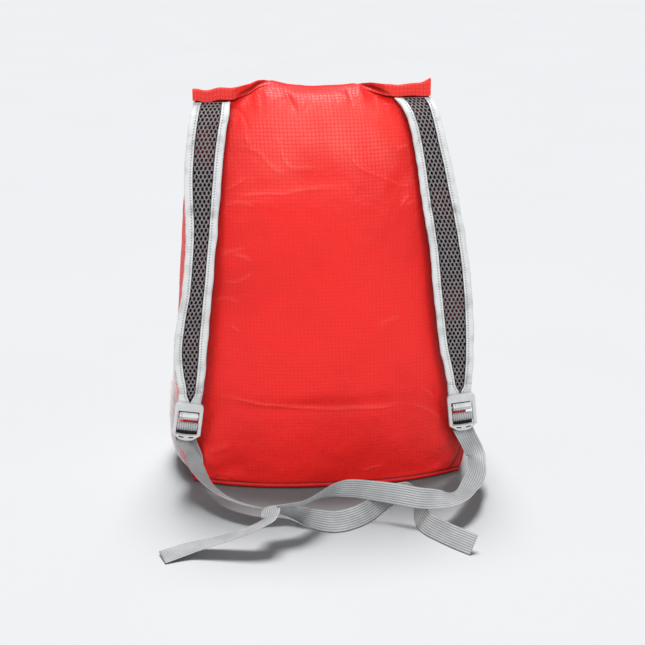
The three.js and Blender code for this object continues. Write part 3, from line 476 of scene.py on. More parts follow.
# Group whose inputs are vectors where no value is given, and whose outputs are numbers
def newGroup(name, inputs, outputs):
    tree = bpy.data.node_groups.new(name, "ShaderNodeTree")
    for socketName, value in inputs.items():
        kind = "NodeSocketVector" if value is None else "NodeSocketFloat"
        made = tree.interface.new_socket(socketName, in_out="INPUT", socket_type=kind)
        if value is not None:
            made.default_value = value
    for socketName in outputs:
        tree.interface.new_socket(socketName, in_out="OUTPUT", socket_type="NodeSocketFloat")
    return tree, tree.nodes.new("NodeGroupInput"), tree.nodes.new("NodeGroupOutput")


# Lines: how near a value is to a whole number of pitches, as a mask that is 1 on the line
def lineMask(tree, value, pitch, width):
    place = calc(tree, "FRACT", calc(tree, "DIVIDE", value, pitch))
    reach = times(tree, minus(tree, 0.5, calc(tree, "ABSOLUTE", minus(tree, place, 0.5))), pitch)
    return spread(tree, reach, times(tree, width, 0.75), times(tree, width, 0.25))


def makeCheckGroup():
    inputs = {"Map": None, "Pitch": 0.0036, "Line Width": 0.0009}
    tree, start, end = newGroup("checkWeave", inputs, ["Lines", "Crossings"])
    parts = put(tree, "ShaderNodeSeparateXYZ", {0: start.outputs["Map"]})
    across = lineMask(tree, parts.outputs[0], start.outputs["Pitch"], start.outputs["Line Width"])
    up = lineMask(tree, parts.outputs[1], start.outputs["Pitch"], start.outputs["Line Width"])
    wire(tree, end, {"Lines": calc(tree, "MAXIMUM", across, up), "Crossings": times(tree, across, up)})
    return tree


def makeClothGroup():
    inputs = {"Place": None, "Patch Scale": 9.0, "Crinkle Scale": 45.0}
    tree, start, end = newGroup("clothTone", inputs, ["Patch", "Crinkle", "Grain"])
    noises = {
        "Patch": {"Scale": start.outputs["Patch Scale"], "Detail": 3.0, "Roughness": 0.55},
        "Crinkle": {"Scale": start.outputs["Crinkle Scale"], "Detail": 4.0, "Roughness": 0.55,
                    "Distortion": 0.6},
        "Grain": {"Scale": 1400.0, "Detail": 1.0},
    }
    for name, sockets in noises.items():
        noise = put(tree, "ShaderNodeTexNoise", {"Vector": start.outputs["Place"], **sockets})
        tree.links.new(noise.outputs[0], end.inputs[name])
    return tree


checkGroup = makeCheckGroup()
clothGroup = makeClothGroup()


def startMaterial(name):
    material = bpy.data.materials.new(name)
    material.use_nodes = True
    tree = material.node_tree
    shader = tree.nodes["Principled BSDF"]
    return material, tree, shader


def placeNode(tree):
    return put(tree, "ShaderNodeTexCoord").outputs["Object"]


def mapNode(tree):
    return put(tree, "ShaderNodeUVMap", uv_map="clothMap").outputs[0]


def paint(tree, shader, factor, first, second):
    tree.links.new(mixColour(tree, factor, first, second), shader.inputs["Base Color"])


def useGroup(tree, group, sockets):
    made = tree.nodes.new("ShaderNodeGroup")
    made.node_tree = group
    return wire(tree, made, sockets)


# Cloth tones where the piece is, with the scales of their patches and crinkles
def toneGroup(tree, patchScale, crinkleScale):
    return useGroup(tree, clothGroup, {"Place": placeNode(tree), "Patch Scale": patchScale,
                                       "Crinkle Scale": crinkleScale})


def pointTone(tree, name):
    return put(tree, "ShaderNodeAttribute", attribute_name=name).outputs["Fac"]


def bump(tree, shader, height, strength, distance):
    made = put(tree, "ShaderNodeBump", {"Height": height, "Strength": strength, "Distance": distance})
    tree.links.new(made.outputs[0], shader.inputs["Normal"])


# Colours: fold is a painted shade, ridge a painted highlight on ridges and shoulders, deepRed a random deeper
# tone and line the heavier yarn
ripstop = {"red": (0.90, 0.014, 0.010, 1), "deepRed": (0.74, 0.007, 0.005, 1), "line": (0.60, 0.005, 0.004, 1),
           "fold": (0.20, 0.001, 0.001, 1), "ridge": (1.0, 0.16, 0.12, 1), "bounce": (0.16, 0.07, 0.065, 1),
           "pitch": 0.00375, "lineWidth": 0.0010, "lineDepth": 0.20, "roughness": 0.40, "lineRoughness": 0.15}


# Ripstop: red in drifting patches, finer darker lines of heavier yarn, a painted shade where the shade tone
# says and a painted highlight where the glint tone says. Light that the cloth throws onto other things is
# muted, as the studio's cards do.
def makeRipstop():
    material, tree, shader = startMaterial("ripstopCloth")
    tone = useGroup(tree, clothGroup, {"Place": placeNode(tree)})
    check = useGroup(tree, checkGroup, {"Map": mapNode(tree), "Pitch": ripstop["pitch"],
                                        "Line Width": ripstop["lineWidth"]})
    fold = pointTone(tree, "paintedShade")
    base = mixColour(tree, spread(tree, tone.outputs["Patch"], 0.38, 0.8), ripstop["red"], ripstop["deepRed"])
    base = mixColour(tree, times(tree, check.outputs["Lines"], ripstop["lineDepth"]), base, ripstop["line"])
    base = mixColour(tree, fold, base, ripstop["fold"])
    ridge = pointTone(tree, "ridgeGlint")
    keep = minus(tree, 1.0, times(tree, check.outputs["Lines"], 0.6))
    base = mixColour(tree, times(tree, ridge, keep), base, ripstop["ridge"])
    thrown = put(tree, "ShaderNodeLightPath").outputs["Is Diffuse Ray"]
    paint(tree, shader, thrown, base, ripstop["bounce"])
    rough = plus(tree, ripstop["roughness"], times(tree, check.outputs["Lines"], ripstop["lineRoughness"]))
    rough = plus(tree, rough, times(tree, tone.outputs["Patch"], 0.08))
    wire(tree, shader, {"Roughness": rough, "Specular IOR Level": 0.4})
    height = plus(tree, times(tree, check.outputs["Lines"], 0.08), times(tree, tone.outputs["Crinkle"], 1.3))
    height = plus(tree, height, times(tree, tone.outputs["Grain"], 0.03))
    bump(tree, shader, height, 0.5, 0.002)
    return material


# Tape colours: hole for stitch holes and the seam line; edge for a painted shade line along the mesh edge; dark
# for painted shade, also used by the webbing
tape = {"pale": (0.72, 0.73, 0.735, 1), "grey": (0.52, 0.53, 0.54, 1), "hole": (0.26, 0.26, 0.27, 1),
        "edge": (0.03, 0.028, 0.03, 1), "dark": (0.015, 0.015, 0.016, 1), "roughness": 0.8,
        "stitchPitch": 0.0027, "rowFromEdge": 0.0029}


# The tape's map runs from its mesh edge (0) to its folded edge, so the row of stitches follows the edge.
# A second row crosses the strap just above the seam where its end is turned back.
def makeTape():
    material, tree, shader = startMaterial("bindingTape")
    tone = toneGroup(tree, 70.0, 190.0)
    parts = put(tree, "ShaderNodeSeparateXYZ", {0: mapNode(tree)})
    across, along = parts.outputs[0], parts.outputs[1]
    row = lineMask(tree, minus(tree, across, tape["rowFromEdge"]), 1.0, 0.0011)
    crossRow = lineMask(tree, minus(tree, along, (strap["crossSeam"] + 1.6) * mm), 1.0, 0.0012)
    holes = calc(tree, "MAXIMUM", times(tree, row, lineMask(tree, along, tape["stitchPitch"], 0.0012)),
                 times(tree, crossRow, lineMask(tree, across, tape["stitchPitch"], 0.0012)))
    seam = lineMask(tree, minus(tree, along, strap["crossSeam"] * mm), 1.0, 0.0010)
    base = mixColour(tree, spread(tree, tone.outputs["Patch"], 0.42, 0.78), tape["pale"], tape["grey"])
    base = mixColour(tree, times(tree, holes, 0.9), base, tape["hole"])
    base = mixColour(tree, times(tree, seam, 0.6), base, tape["hole"])
    # A thin painted shade line along the tape's mesh edge, then painted shade where the shade tone says
    base = mixColour(tree, spread(tree, across, 0.0010, 0.0004), base, tape["edge"])
    fold = pointTone(tree, "paintedShade")
    paint(tree, shader, fold, base, tape["dark"])
    wire(tree, shader, {"Roughness": tape["roughness"], "Specular IOR Level": 0.3})
    height = minus(tree, times(tree, tone.outputs["Crinkle"], 1.1), times(tree, row, 0.3))
    height = plus(tree, height, times(tree, tone.outputs["Grain"], 0.1))
    bump(tree, shader, height, 0.6, 0.0012)
    return material


# Plain materials: two tones over the patches or crinkles of the cloth group, where the first turns into the
# second, the scales of both, and the bump's strength and distance
knitLook = {"first": (0.30, 0.27, 0.28, 1), "second": (0.13, 0.115, 0.12, 1), "over": "Crinkle",
            "turn": (0.3, 0.7), "scales": (80.0, 700.0), "roughness": 0.8, "bump": (0.4, 0.0006), "grain": True}
# The knit's inner face, seen through its holes: nearly black as a painted shade, with patches of painted red
# light thrown from the bag's panel
liningLook = {"first": (0.012, 0.010, 0.011, 1), "second": (0.10, 0.012, 0.012, 1), "over": "Patch",
              "turn": (0.5, 0.72), "scales": (16.0, 300.0), "roughness": 0.95, "bump": (0.4, 0.0006),
              "specular": 0.1}
netLook = {"first": (0.92, 0.88, 0.88, 1), "second": (0.80, 0.75, 0.75, 1), "over": "Patch",
           "turn": (0.3, 0.8), "scales": (90.0, 900.0), "roughness": 0.7, "bump": (0.3, 0.0004)}


def makePlain(name, look):
    material, tree, shader = startMaterial(name)
    tone = toneGroup(tree, *look["scales"])
    paint(tree, shader, spread(tree, tone.outputs[look["over"]], *look["turn"]), look["first"], look["second"])
    wire(tree, shader, {"Roughness": look["roughness"], "Specular IOR Level": look.get("specular", 0.5)})
    height = tone.outputs["Crinkle"]
    if look.get("grain"):
        height = plus(tree, height, tone.outputs["Grain"])
    bump(tree, shader, height, *look["bump"])
    return material


plastic = {"pale": (0.58, 0.59, 0.595, 1), "worn": (0.66, 0.67, 0.675, 1), "roughness": 0.34}


def makePlastic():
    material, tree, shader = startMaterial("mouldedPlastic")
    tone = toneGroup(tree, 120.0, 900.0)
    paint(tree, shader, spread(tree, tone.outputs["Patch"], 0.35, 0.7), plastic["pale"], plastic["worn"])
    rough = plus(tree, plastic["roughness"], times(tree, tone.outputs["Patch"], 0.1))
    wire(tree, shader, {"Roughness": rough})
    bump(tree, shader, tone.outputs["Crinkle"], 0.08, 0.0004)
    return material


webbing = {"pale": (0.51, 0.52, 0.525, 1), "grey": (0.38, 0.39, 0.395, 1), "groove": (0.19, 0.195, 0.20, 1),
           "roughness": 0.7, "width": 20.0, "thickness": 1.3, "ribs": 9}


# Ribs lie across the map's first value, picks across its second: grooves are darkened with a painted shade,
# picks only rough
def makeWebbing():
    material, tree, shader = startMaterial("ribbedWebbing")
    tone = toneGroup(tree, 50.0, 500.0)
    parts = put(tree, "ShaderNodeSeparateXYZ", {0: mapNode(tree)})
    pitch = webbing["width"] * mm / webbing["ribs"]
    groove = lineMask(tree, parts.outputs[0], pitch, 0.0009)
    picks = lineMask(tree, parts.outputs[1], 0.0016, 0.0008)
    base = mixColour(tree, spread(tree, tone.outputs["Patch"], 0.3, 0.7), webbing["pale"], webbing["grey"])
    base = mixColour(tree, times(tree, picks, 0.25), base, webbing["grey"])
    base = mixColour(tree, times(tree, groove, 0.75), base, webbing["groove"])
    fold = pointTone(tree, "paintedShade")
    paint(tree, shader, fold, base, tape["dark"])
    wire(tree, shader, {"Roughness": webbing["roughness"]})
    height = minus(tree, times(tree, tone.outputs["Crinkle"], 0.4), times(tree, picks, 0.35))
    bump(tree, shader, height, 0.5, 0.0006)
    return material


redCloth = makeRipstop()
paleTape = makeTape()
knit = makePlain("airMeshKnit", knitLook)
knitLining = makePlain("airMeshLining", liningLook)
hardPlastic = makePlastic()
greyWebbing = makeWebbing()
netThread = makePlain("netThread", netLook)
print("materials made")


# Painted shade of the red cloth: beside the straps by the distance from each strap's inner edge, along the
# bottom seam, and in the creases that have a shade
beside = {"bottom": 88.0, "width": 4.5, "shade": 0.42, "wide": 20.0, "wideShade": 0.03, "seam": 1.1,
          "seamShade": 0.9}


def panelShade(s, t):
    point = backPoint(s, t)
    x, z = point[..., 0], point[..., 2]
    bottom, top = beside["bottom"], bandRise(0.0)
    shade = fineCreases(s, t)[1]
    for side, sign in (("left", -1), ("right", 1)):
        share = np.clip((z - bottom) / (top - bottom), 0, 1)
        centre, width = (readTable(strapTable, side + name, share) for name in ("Centre", "Width"))
        edge = bag["width"] * centre - sign * strap["width"] / 2 * width
        gap = np.maximum(sign * (edge - x), 0)
        strength = 0.4 + 0.6 * smoothStep(z, 60, 100)
        close = beside["shade"] * np.exp(-gap / beside["width"])
        shade += strength * (close + beside["wideShade"] * np.exp(-(gap / beside["wide"]) ** 2))
    return shade + beside["seamShade"] * np.exp(-(np.maximum(z - bag["rim"], 0) / beside["seam"]) ** 2)


# Side pocket, and how far it hangs out: the cloth below it fills it
pocket = {"height": 102.0, "bulge": 8.6, "foot": 0.012, "margin": 0.03, "exponent": 0.7, "cell": 2.6,
          "thread": 0.33, "hem": 3.0, "fill": 0.87, "stand": 0.5, "across": 112.0, "slope": 0.75,
          "wobble": 0.25}
pocketTable = columns("at out", [
    [0, 0.06], [0.05, 0.7], [0.12, 1.15], [0.25, 1.3], [0.4, 1.12], [0.55, 1], [0.75, 0.8], [1, 0.3],
])


def pocketHang(w, t):
    v = (t - pocket["foot"]) * (bag["height"] - bag["rim"]) / pocket["height"]
    fill = readTable(pocketTable, "out", v) * (1 - smoothStep(v, 0.88, 1.0)) * (v > 0)
    return pocket["bulge"] * fill * np.clip(np.sin(np.pi * w), 0, 1) ** pocket["exponent"]


# Direction out of the left side panel: the cross product of its steps up and across
def leftNormal(w, t):
    step = 0.004
    across = sidePoint(-1, np.clip(w + step, 0, 1), t) - sidePoint(-1, np.clip(w - step, 0, 1), t)
    up = sidePoint(-1, w, t + step) - sidePoint(-1, w, np.clip(t - step, 0, 1))
    normal = unit(np.cross(up, across))
    return np.where(normal[..., :1] > 0, -normal, normal)


# Where the shoulders catch the light: a patch of pale glint, broken by the cloth's drift
shoulder = {"low": 0.775, "full": 0.86, "fading": 0.915, "end": 0.975, "middle": 0.05, "near": 0.25,
            "far": 0.77, "leftDrop": 0.10, "glint": 0.36}


def shoulderGlint(s, t):
    x, z = s * bag["width"] / 2, t * bag["height"]
    drift = swell("shoulder", x, z)
    place = t + 0.05 * drift + shoulder["leftDrop"] * np.abs(s) * (s < 0)
    up = smoothStep(place, shoulder["low"], shoulder["full"])
    up = up * (1 - smoothStep(t, shoulder["fading"], shoulder["end"]))
    near = 1 - smoothStep(np.abs(s - shoulder["middle"]), shoulder["near"], shoulder["far"])
    return shoulder["glint"] * up * near * (1 + 0.5 * drift)


# Back panel: a fine outer face with every crease, and a plain inner face one cloth's thickness behind it
def makeBackCloth(s, t):
    outer = backPoint(s, t, fine=True)
    tones = {"paintedShade": panelShade(s, t), "ridgeGlint": fineCreases(s, t)[2] + shoulderGlint(s, t)}
    rows, cols = s.shape
    innerS, innerT = np.broadcast_arrays(np.linspace(s.min(), s.max(), shell["innerCols"]),
                                         np.linspace(0, 1, shell["innerRows"])[:, None])
    inner = backPoint(innerS, innerT)
    normal = gridNormals(inner)
    normal *= np.sign(normal[..., 1:2])
    inner = inner + bag["cloth"] * normal
    faces = np.vstack([gridFaces(rows, cols), gridFaces(*innerS.shape)[:, ::-1] + rows * cols])
    points = np.vstack([outer.reshape(-1, 3), inner.reshape(-1, 3)])
    maps = np.vstack([clothMap(outer).reshape(-1, 2), clothMap(inner).reshape(-1, 2)])
    plain = np.zeros(innerS.size)
    tones = {key: np.concatenate([tone.ravel(), plain]) for key, tone in tones.items()}
    makePiece("backCloth", points, faces, redCloth, "back_panel", maps, tones=tones)


# Cloth shell
shell = {"backCols": 284, "backRows": 316, "innerCols": 60, "innerRows": 80, "sideCols": 44, "sideRows": 120,
         "frontCols": 96, "frontRows": 130}
inset = bag["seamInset"]

s = np.linspace(-1 + inset, 1 - inset, shell["backCols"])
t = np.linspace(0, 1, shell["backRows"])[:, None]
s, t = np.broadcast_arrays(s, t)
makeBackCloth(s, t)

s = np.linspace(-1 + inset, 1 - inset, shell["frontCols"])
t = np.linspace(0, 1, shell["frontRows"])[:, None]
frontGrid = frontPoint(s, t)
calm = between(t, 0, 0.03, 0.97, 1) * (1 - np.abs(s) ** 8)
x, z = frontGrid[..., 0], frontGrid[..., 2]
frontGrid[..., 1] += calm * (swell("front", x, z) + swell("frontFine", x, z))
clothSheet("frontCloth", frontGrid, redCloth, "front_panel")

for side, sign in (("left", -1), ("right", 1)):
    w = np.linspace(2 * inset, 1 - 2 * inset, shell["sideCols"])
    t = np.linspace(0, 1, shell["sideRows"])[:, None]
    grid = sidePoint(sign, w, t)
    calm = between(t, 0, 0.03, 0.97, 1) * np.sin(np.pi * w)
    if side == "left":
        w, t = np.broadcast_arrays(w, t)
        grid += leftNormal(w, t) * (pocket["fill"] * pocketHang(w, t))[..., None]
        calm = calm * (0.15 + 0.85 * smoothStep(t * bag["height"] / pocket["height"], 1.0, 1.4))
    y, z = grid[..., 1], grid[..., 2]
    grid[..., 0] += sign * calm * (swell("side", y, z, sign) + swell("sideFine", y, z, sign))
    clothSheet(f"{side}SideCloth", grid, redCloth, f"{side}_side_panel")
print("walls made")


# Bottom: rings round the bag's outline, drawn inwards and turned under, then shrunk to the middle
# Shades: a painted shade for each ring, darkest in the groove at the seam and again on the underside
tray = {"levels": [(1.0, 5.7), (0.9, 5.5), (-0.1, 4.9), (-0.45, 4.1), (-0.35, 2.9), (0.1, 1.8), (0.8, 0.8),
                   (2.4, 0.0)], "shades": [1.0, 1.0, 0.5, 0.0, 0.1, 0.25, 0.5, 0.6],
        "shrink": [0.85, 0.6, 0.3, 0.08]}


def bottomOutline():
    turn = np.linspace(-1, 1, 60)[:-1]
    depth = np.linspace(0, 1, 24)[:-1]
    return np.vstack([backPoint(turn, 0.0), sidePoint(1, depth, 0.0), frontPoint(-turn, 0.0),
                      sidePoint(-1, 1 - depth, 0.0)])


outline = bottomOutline()
along = np.roll(outline, -1, 0) - np.roll(outline, 1, 0)
outwards = unit(np.stack([along[:, 1], -along[:, 0], np.zeros(len(along))], -1))
rings = [np.column_stack([(outline - outwards * inward)[:, :2], np.full(len(outline), rise)])
         for inward, rise in tray["levels"]]
centre = rings[-1].mean(0)
rings += [lerp(centre, rings[-1], share) for share in tray["shrink"]]
ringGrid = np.array(rings)[::-1]
count = ringGrid.shape[1]
around = np.cumsum(np.linalg.norm(np.diff(outline, axis=0, prepend=outline[:1]), axis=-1))
ringMap = mapValues(around[None], np.arange(len(ringGrid))[:, None] * 3.0)
shades = np.repeat((tray["shades"] + [0.6] * len(tray["shrink"]))[::-1], count)
makePiece("bottomCloth", ringGrid, gridFaces(len(ringGrid), count, closed=True), redCloth, "bottom_panel",
          ringMap, bag["cloth"], caps=[np.arange(count)[::-1]], tones={"paintedShade": shades})
print("bottom made")


# Band along the top: a rounded strip whose section turns from upright at the ears to lying back between
band = {"width": 11.0, "earThickness": 6.9, "cloth": 1.6, "clearance": 0.75, "steps": 260, "corner": 0.7}

# Fold hollows: pressed into the band where it turns over. From, to: shares of the width. Low, high: where
# the hollow's middle lies at both ends, as a share of the band's width.
bandHollows = [
    {"from": -0.262, "to": -0.142, "low": 0.10, "high": 0.90, "width": 0.20, "depth": 3.2},
    {"from": 0.140, "to": 0.262, "low": 0.95, "high": 0.08, "width": 0.19, "depth": 3.2},
]

# Sags of the ears: where, how far along they reach, and how deep, in shares of the width and millimetres
bandSags = [(-0.362, 0.026, 1.5), (-0.398, 0.016, -0.8), (-0.322, 0.020, -0.6), (0.285, 0.020, 0.8),
            (0.335, 0.022, -0.5)]


# Band: a rounded section, with its corners' arcs and two long faces, stands at each place of the top edge.
# A hollow presses both faces in by a bell across its middle line and is darkened by a painted shade; the
# ears get a painted highlight where no hollow is.
def makeBand():
    share = np.linspace(bandTable["at"][0], bandTable["at"][-1], band["steps"])
    x = share * bag["width"]
    at = readAll(bandTable, share)
    u = np.clip((share - sections["shift"][-1]) / sections["half"][-1], -1, 1)
    turn = np.radians(at["turn"])
    zero = np.zeros_like(x)
    along = np.stack([zero, np.cos(turn), np.sin(turn)], -1)[:, None]
    face = np.stack([zero, -np.sin(turn), np.cos(turn)], -1)[:, None]
    sag = sum(drop * np.exp(-((share - place) / reach) ** 2) for place, reach, drop in bandSags)
    foot = np.stack([x, backPoint(u, 1.0)[:, 1], bandRise(x) - sag + swell("bandFoot", x, zero)], -1)
    foot = foot[:, None] + along * band["clearance"]
    angle = np.radians(np.arange(4) * 30)[None]
    high = (at["width"] * band["width"])[:, None]
    r = band["corner"] + 0 * high
    top = (at["lead"] * (band["earThickness"] - band["cloth"]))[:, None]
    low = -band["cloth"] + 0 * top
    way = np.linspace(0, 1, 16)[None, 1:-1]
    rise = np.concatenate([high - r + r * np.cos(angle), lerp(high - r, r, way), r - r * np.sin(angle),
                           r - r * np.cos(angle), lerp(r, high - r, way), high - r + r * np.sin(angle)], 1)
    out = np.concatenate([top - r + r * np.sin(angle), top + 0 * way, top - r + r * np.cos(angle),
                          low + r - r * np.sin(angle), low + 0 * way, low + r - r * np.cos(angle)], 1)
    shade = np.zeros(rise.shape)
    for hollow in bandHollows:
        f = np.clip((share - hollow["from"]) / (hollow["to"] - hollow["from"]), 0, 1)[:, None]
        middle = lerp(hollow["low"], hollow["high"], f)
        aside = (rise / high - middle) / hollow["width"]
        shade += np.exp(-aside ** 4) * np.sin(np.pi * f) ** 0.6
        out -= hollow["depth"] * np.exp(-aside ** 2) * np.sin(np.pi * f) ** 0.8
    out += swell("bandFace", x[:, None] + 0 * rise, rise) * (out > low * 0.5)
    grid = foot + along * rise[..., None] + face * out[..., None]
    count = grid.shape[1]
    bandMap = mapValues(rise, x[:, None])
    glint = 0.23 * at["lead"][:, None] * (1 - shade)
    makePiece("topBandCloth", grid, gridFaces(len(x), count, closed=True), redCloth, "top_band",
              bandMap, caps=endCaps(len(x), count), tones={"paintedShade": 0.8 * shade, "ridgeGlint": glint})


makeBand()
print("band made")


# Buckles and shoulder straps
# The slot colours are the near-black painted shade inside the lip's slots, one of them mottled in at random
buckle = {"rise": 77.0, "height": 40.0, "thickness": 4.5, "topPlate": 8.5, "lip": 6.5, "strapBar": 1.5,
          "webbingBar": 1.8, "edgeRadius": 0.55, "slotCentre": 12.9, "slotFrom": 28.4, "slotTo": 30.3,
          "slotTurn": (0.07, 0.26), "slotShade": (0.03, 0.03, 0.032, 1), "slotShadeMottle": (0.05, 0.05, 0.052, 1),
          "strapBarDrop": 5.5, "webbingBarDrop": 16.3, "lap": 0.4, "play": 0.3}
sideways = np.array([1.0, 0.0, 0.0])
strapSides = {"left": {"sign": -1, "lean": 8.5}, "right": {"sign": 1, "lean": -6.5}}


# Frame of a strap: its middle line from the buckle to the band, and the direction across its face
def strapFrame(side, at):
    bottom = buckle["rise"] + buckle["height"] / 2 - buckle["topPlate"] / 2
    top = bandRise(readTable(strapTable, f"{side}Centre", 1.0) * bag["width"]) - bag["gap"]

    def middle(share):
        share = np.clip(share, 0, 1)
        return np.stack([bag["width"] * readTable(strapTable, f"{side}Centre", share),
                         bag["depth"] * readTable(strapTable, "out", share), lerp(bottom, top, share)], -1)

    at = np.asarray(at, float)
    along = middle(at + 0.01) - middle(at - 0.01)
    along[..., 0] = 0
    along = unit(along)
    upright = smoothStep(at, 0.985, 1)[..., None]
    along = unit(lerp(along, np.array([0.0, 0.0, 1.0]), upright))
    back = np.stack([np.zeros_like(at), along[..., 2], -along[..., 1]], -1)
    half = 0.5 * strap["width"] * readTable(strapTable, f"{side}Width", at)
    return middle(at), back, half


# Points of the strap from shares of its length, distances across and heights off its middle sheet
def strapPoint(side, at, across, off):
    middle, back = strapFrame(side, at)[:2]
    return middle + sideways * np.asarray(across)[..., None] - back * np.asarray(off)[..., None]


def strapLength(side):
    at = np.linspace(0, 1, 400)
    middle = strapFrame(side, at)[0]
    return at, distancesAlong(middle)


# Air mesh: a staggered field of rounded holes. Each cell is a ring of faces between a six-sided cell and
# a twelve-sided oval hole, laid out flat and then carried onto the strap.
holes = {"across": 4.0, "down": 3.9, "width": 3.0, "height": 4.5, "lining": 1.1}


def makeStrapMesh(side):
    at, length = strapLength(side)
    total = length[-1]
    rows = int(total / holes["down"])
    widest = strap["width"] * strapTable[f"{side}Width"].max() / 2
    cols = int(widest / holes["across"]) + 1
    j, i = np.meshgrid(np.arange(rows), np.arange(-cols, cols + 1), indexing="ij")
    centreX = (i + 0.5 * (j % 2)) * holes["across"]
    centreY = total - (j + 0.5) * holes["down"]
    half = 0.5 * strap["width"] * readTable(strapTable, f"{side}Width", np.interp(centreY, length, at))
    inside = np.abs(centreX) < half - strap["wall"] - holes["across"] / 2 - 0.6
    centres = np.stack([centreX[inside], centreY[inside]], -1)
    angle = np.radians(np.arange(12) * 30 + 90)
    p, q = holes["across"] / 2, holes["down"]
    hexagon = np.array([[0, 2 * q / 3], [-p / 2, q / 2], [-p, q / 3], [-p, 0], [-p, -q / 3], [-p / 2, -q / 2],
                        [0, -2 * q / 3], [p / 2, -q / 2], [p, -q / 3], [p, 0], [p, q / 3], [p / 2, q / 2]])
    oval = np.stack([np.cos(angle) * holes["width"] / 2, np.sin(angle) * holes["height"] / 2], -1)
    ridge = lerp(oval, hexagon, 0.45)
    outer, middle, inner = (centres[:, None] + ring for ring in (hexagon, ridge, oval))
    flat = np.concatenate([outer.reshape(-1, 2), middle.reshape(-1, 2), inner.reshape(-1, 2)])
    size = len(centres) * 12
    lift = np.concatenate([np.full(size, 0.30), np.full(size, 0.26), np.full(size, 0.05)])
    faceRows = []
    for first in (0, size):
        base = np.arange(size).reshape(-1, 12)
        after = np.roll(base, -1, 1)
        ring = np.stack([base, after, after + size, base + size], -1) + first
        faceRows.append(ring.reshape(-1, 4))
    share = np.interp(flat[:, 1], length, at)
    points = strapPoint(side, share, flat[:, 0], lift)
    key = np.round(flat * 50).astype(int)
    _, firstSeen, same = np.unique(key, axis=0, return_index=True, return_inverse=True)
    same = same.ravel()
    makePiece(f"{side}StrapKnit", points[firstSeen], same[np.vstack(faceRows)][:, ::-1], knit,
              f"{side}_strap_mesh", thickness=0.5)
    at = np.linspace(0.004, 1, 120)[:, None]
    width = np.maximum(strapFrame(side, at)[2] - 3.0, 0.5)
    w = np.linspace(-1, 1, 12)[None]
    grid = strapPoint(side, at + 0 * w, width * w, -holes["lining"] + 0 * at * w)
    clothSheet(f"{side}StrapLining", grid, knitLining, None, 0.4)


# Binding: a folded tape round the strap's edge. Its section is a half circle round the edge and two flat
# legs, the upper one crowned and pressed in along its stitches; near the buckle the legs widen to the middle.
def makeBinding(side, edge, name, node):
    at = np.sin(np.linspace(0, np.pi / 2, strap["steps"]))
    middle, back, half = strapFrame(side, at)
    lengthAt = np.interp(at, *strapLength(side))
    closing = 1 - smoothStep(at, strap["tipFrom"], strap["tipTo"])
    width = lerp(strap["binding"], half - bag["gap"] / 2, closing)
    h, wall = strap["thickness"] / 2, strap["wall"]
    leg = np.linspace(0, 1, 12)[None]
    bow = np.linspace(np.pi / 2, -np.pi / 2, 9)[None, 1:-1]
    w = width[:, None]
    one = np.ones_like(w)
    flat = h + (w - h) * leg
    crown = 0.3 * np.sin(np.pi * np.clip(leg * 1.12, 0, 1)) - 0.3 * np.exp(-((w - flat - 1.5) / 0.8) ** 2)
    seam = strap["crossSeam"]
    turned = strap["seamRise"] * smoothStep(lengthAt, 5.0, 6.5) * (1 - smoothStep(lengthAt, seam - 0.9, seam))
    upper = h + crown + turned[:, None]
    a = np.concatenate([flat[:, ::-1], one * (h - h * np.cos(bow)), flat, w, one * (wall + 0.3),
                        one * (wall + 0.3), w], 1)
    n = np.concatenate([upper[:, ::-1], one * h * np.sin(bow), -h - 0.5 * crown, one * (wall - h),
                        one * (wall - h), one * (h - wall), one * (h - wall)], 1)
    still = np.zeros_like(lengthAt)
    pucker = swell("pucker", lengthAt, still, edge) + swell("puckerFine", lengthAt, still, edge)
    share = (np.abs(n) > h * 0.6) * np.clip(a / w, 0.25, 1)
    n = n + (pucker * smoothStep(lengthAt, 4, 9))[:, None] * np.sign(n) * share
    a = a + swell("tapeEdge", lengthAt, still, edge)[:, None] * (a < 3)
    # Painted shade in soft dents along the tape, fading towards its folded edge
    dentShade = smoothStep(swell("tapeDentShade", lengthAt[:, None] + 0 * a, a, edge), 0.15, 1.0) * np.clip(a / w, 0, 1)
    aside = edge * (half[:, None] - a)
    points = middle[:, None] + sideways * aside[..., None] - back[:, None] * n[..., None]
    count = points.shape[1]
    fromEdge = width[:, None] - a
    tapeMap = mapValues(fromEdge, lengthAt[:, None])
    faces = gridFaces(len(at), count, closed=True)
    if edge > 0:
        faces = faces[:, ::-1]
    ends = endCaps(len(at), count)
    makePiece(name, points, faces, paleTape, node, tapeMap,
              caps=[c[::-1] if edge > 0 else c for c in ends], tones={"paintedShade": 0.55 * dentShade})


for side, info in strapSides.items():
    makeStrapMesh(side)
    makeBinding(side, info["sign"], f"{side}OuterTape", f"{side}_outer_binding")
    makeBinding(side, -info["sign"], f"{side}InnerTape", f"{side}_inner_binding")
print("straps made")


# Buckle places: leaning frames whose middle lies before the strap's end
def buckleFrame(side):
    middle = strapFrame(side, 0.0)[0]
    setback = strap["thickness"] / 2 + buckle["lap"] + buckle["thickness"] / 2
    lean = np.radians(strapSides[side]["lean"])
    drop = middle[2] - buckle["rise"]
    place = np.array([middle[0] - np.sin(lean) * drop, middle[1] - setback, buckle["rise"]])
    across = np.array([np.cos(lean), 0, -np.sin(lean)])
    up = np.array([np.sin(lean), 0, np.cos(lean)])
    return place, across, up


# Points round a bar as [out, rise], from one angle to another: 0 behind it, 90 above, 180 in front
def roundBar(rise, radius, first, last, steps=8):
    angle = np.radians(np.linspace(first, last, steps + 1))
    return np.stack([radius * np.cos(angle), rise + radius * np.sin(angle)], -1)


# Points given as [behind, up] in a buckle's frame, brought to their place
def fromFrame(place, up, way):
    return place + np.array([0, 1.0, 0]) * way[:, :1] + up * way[:, 1:]


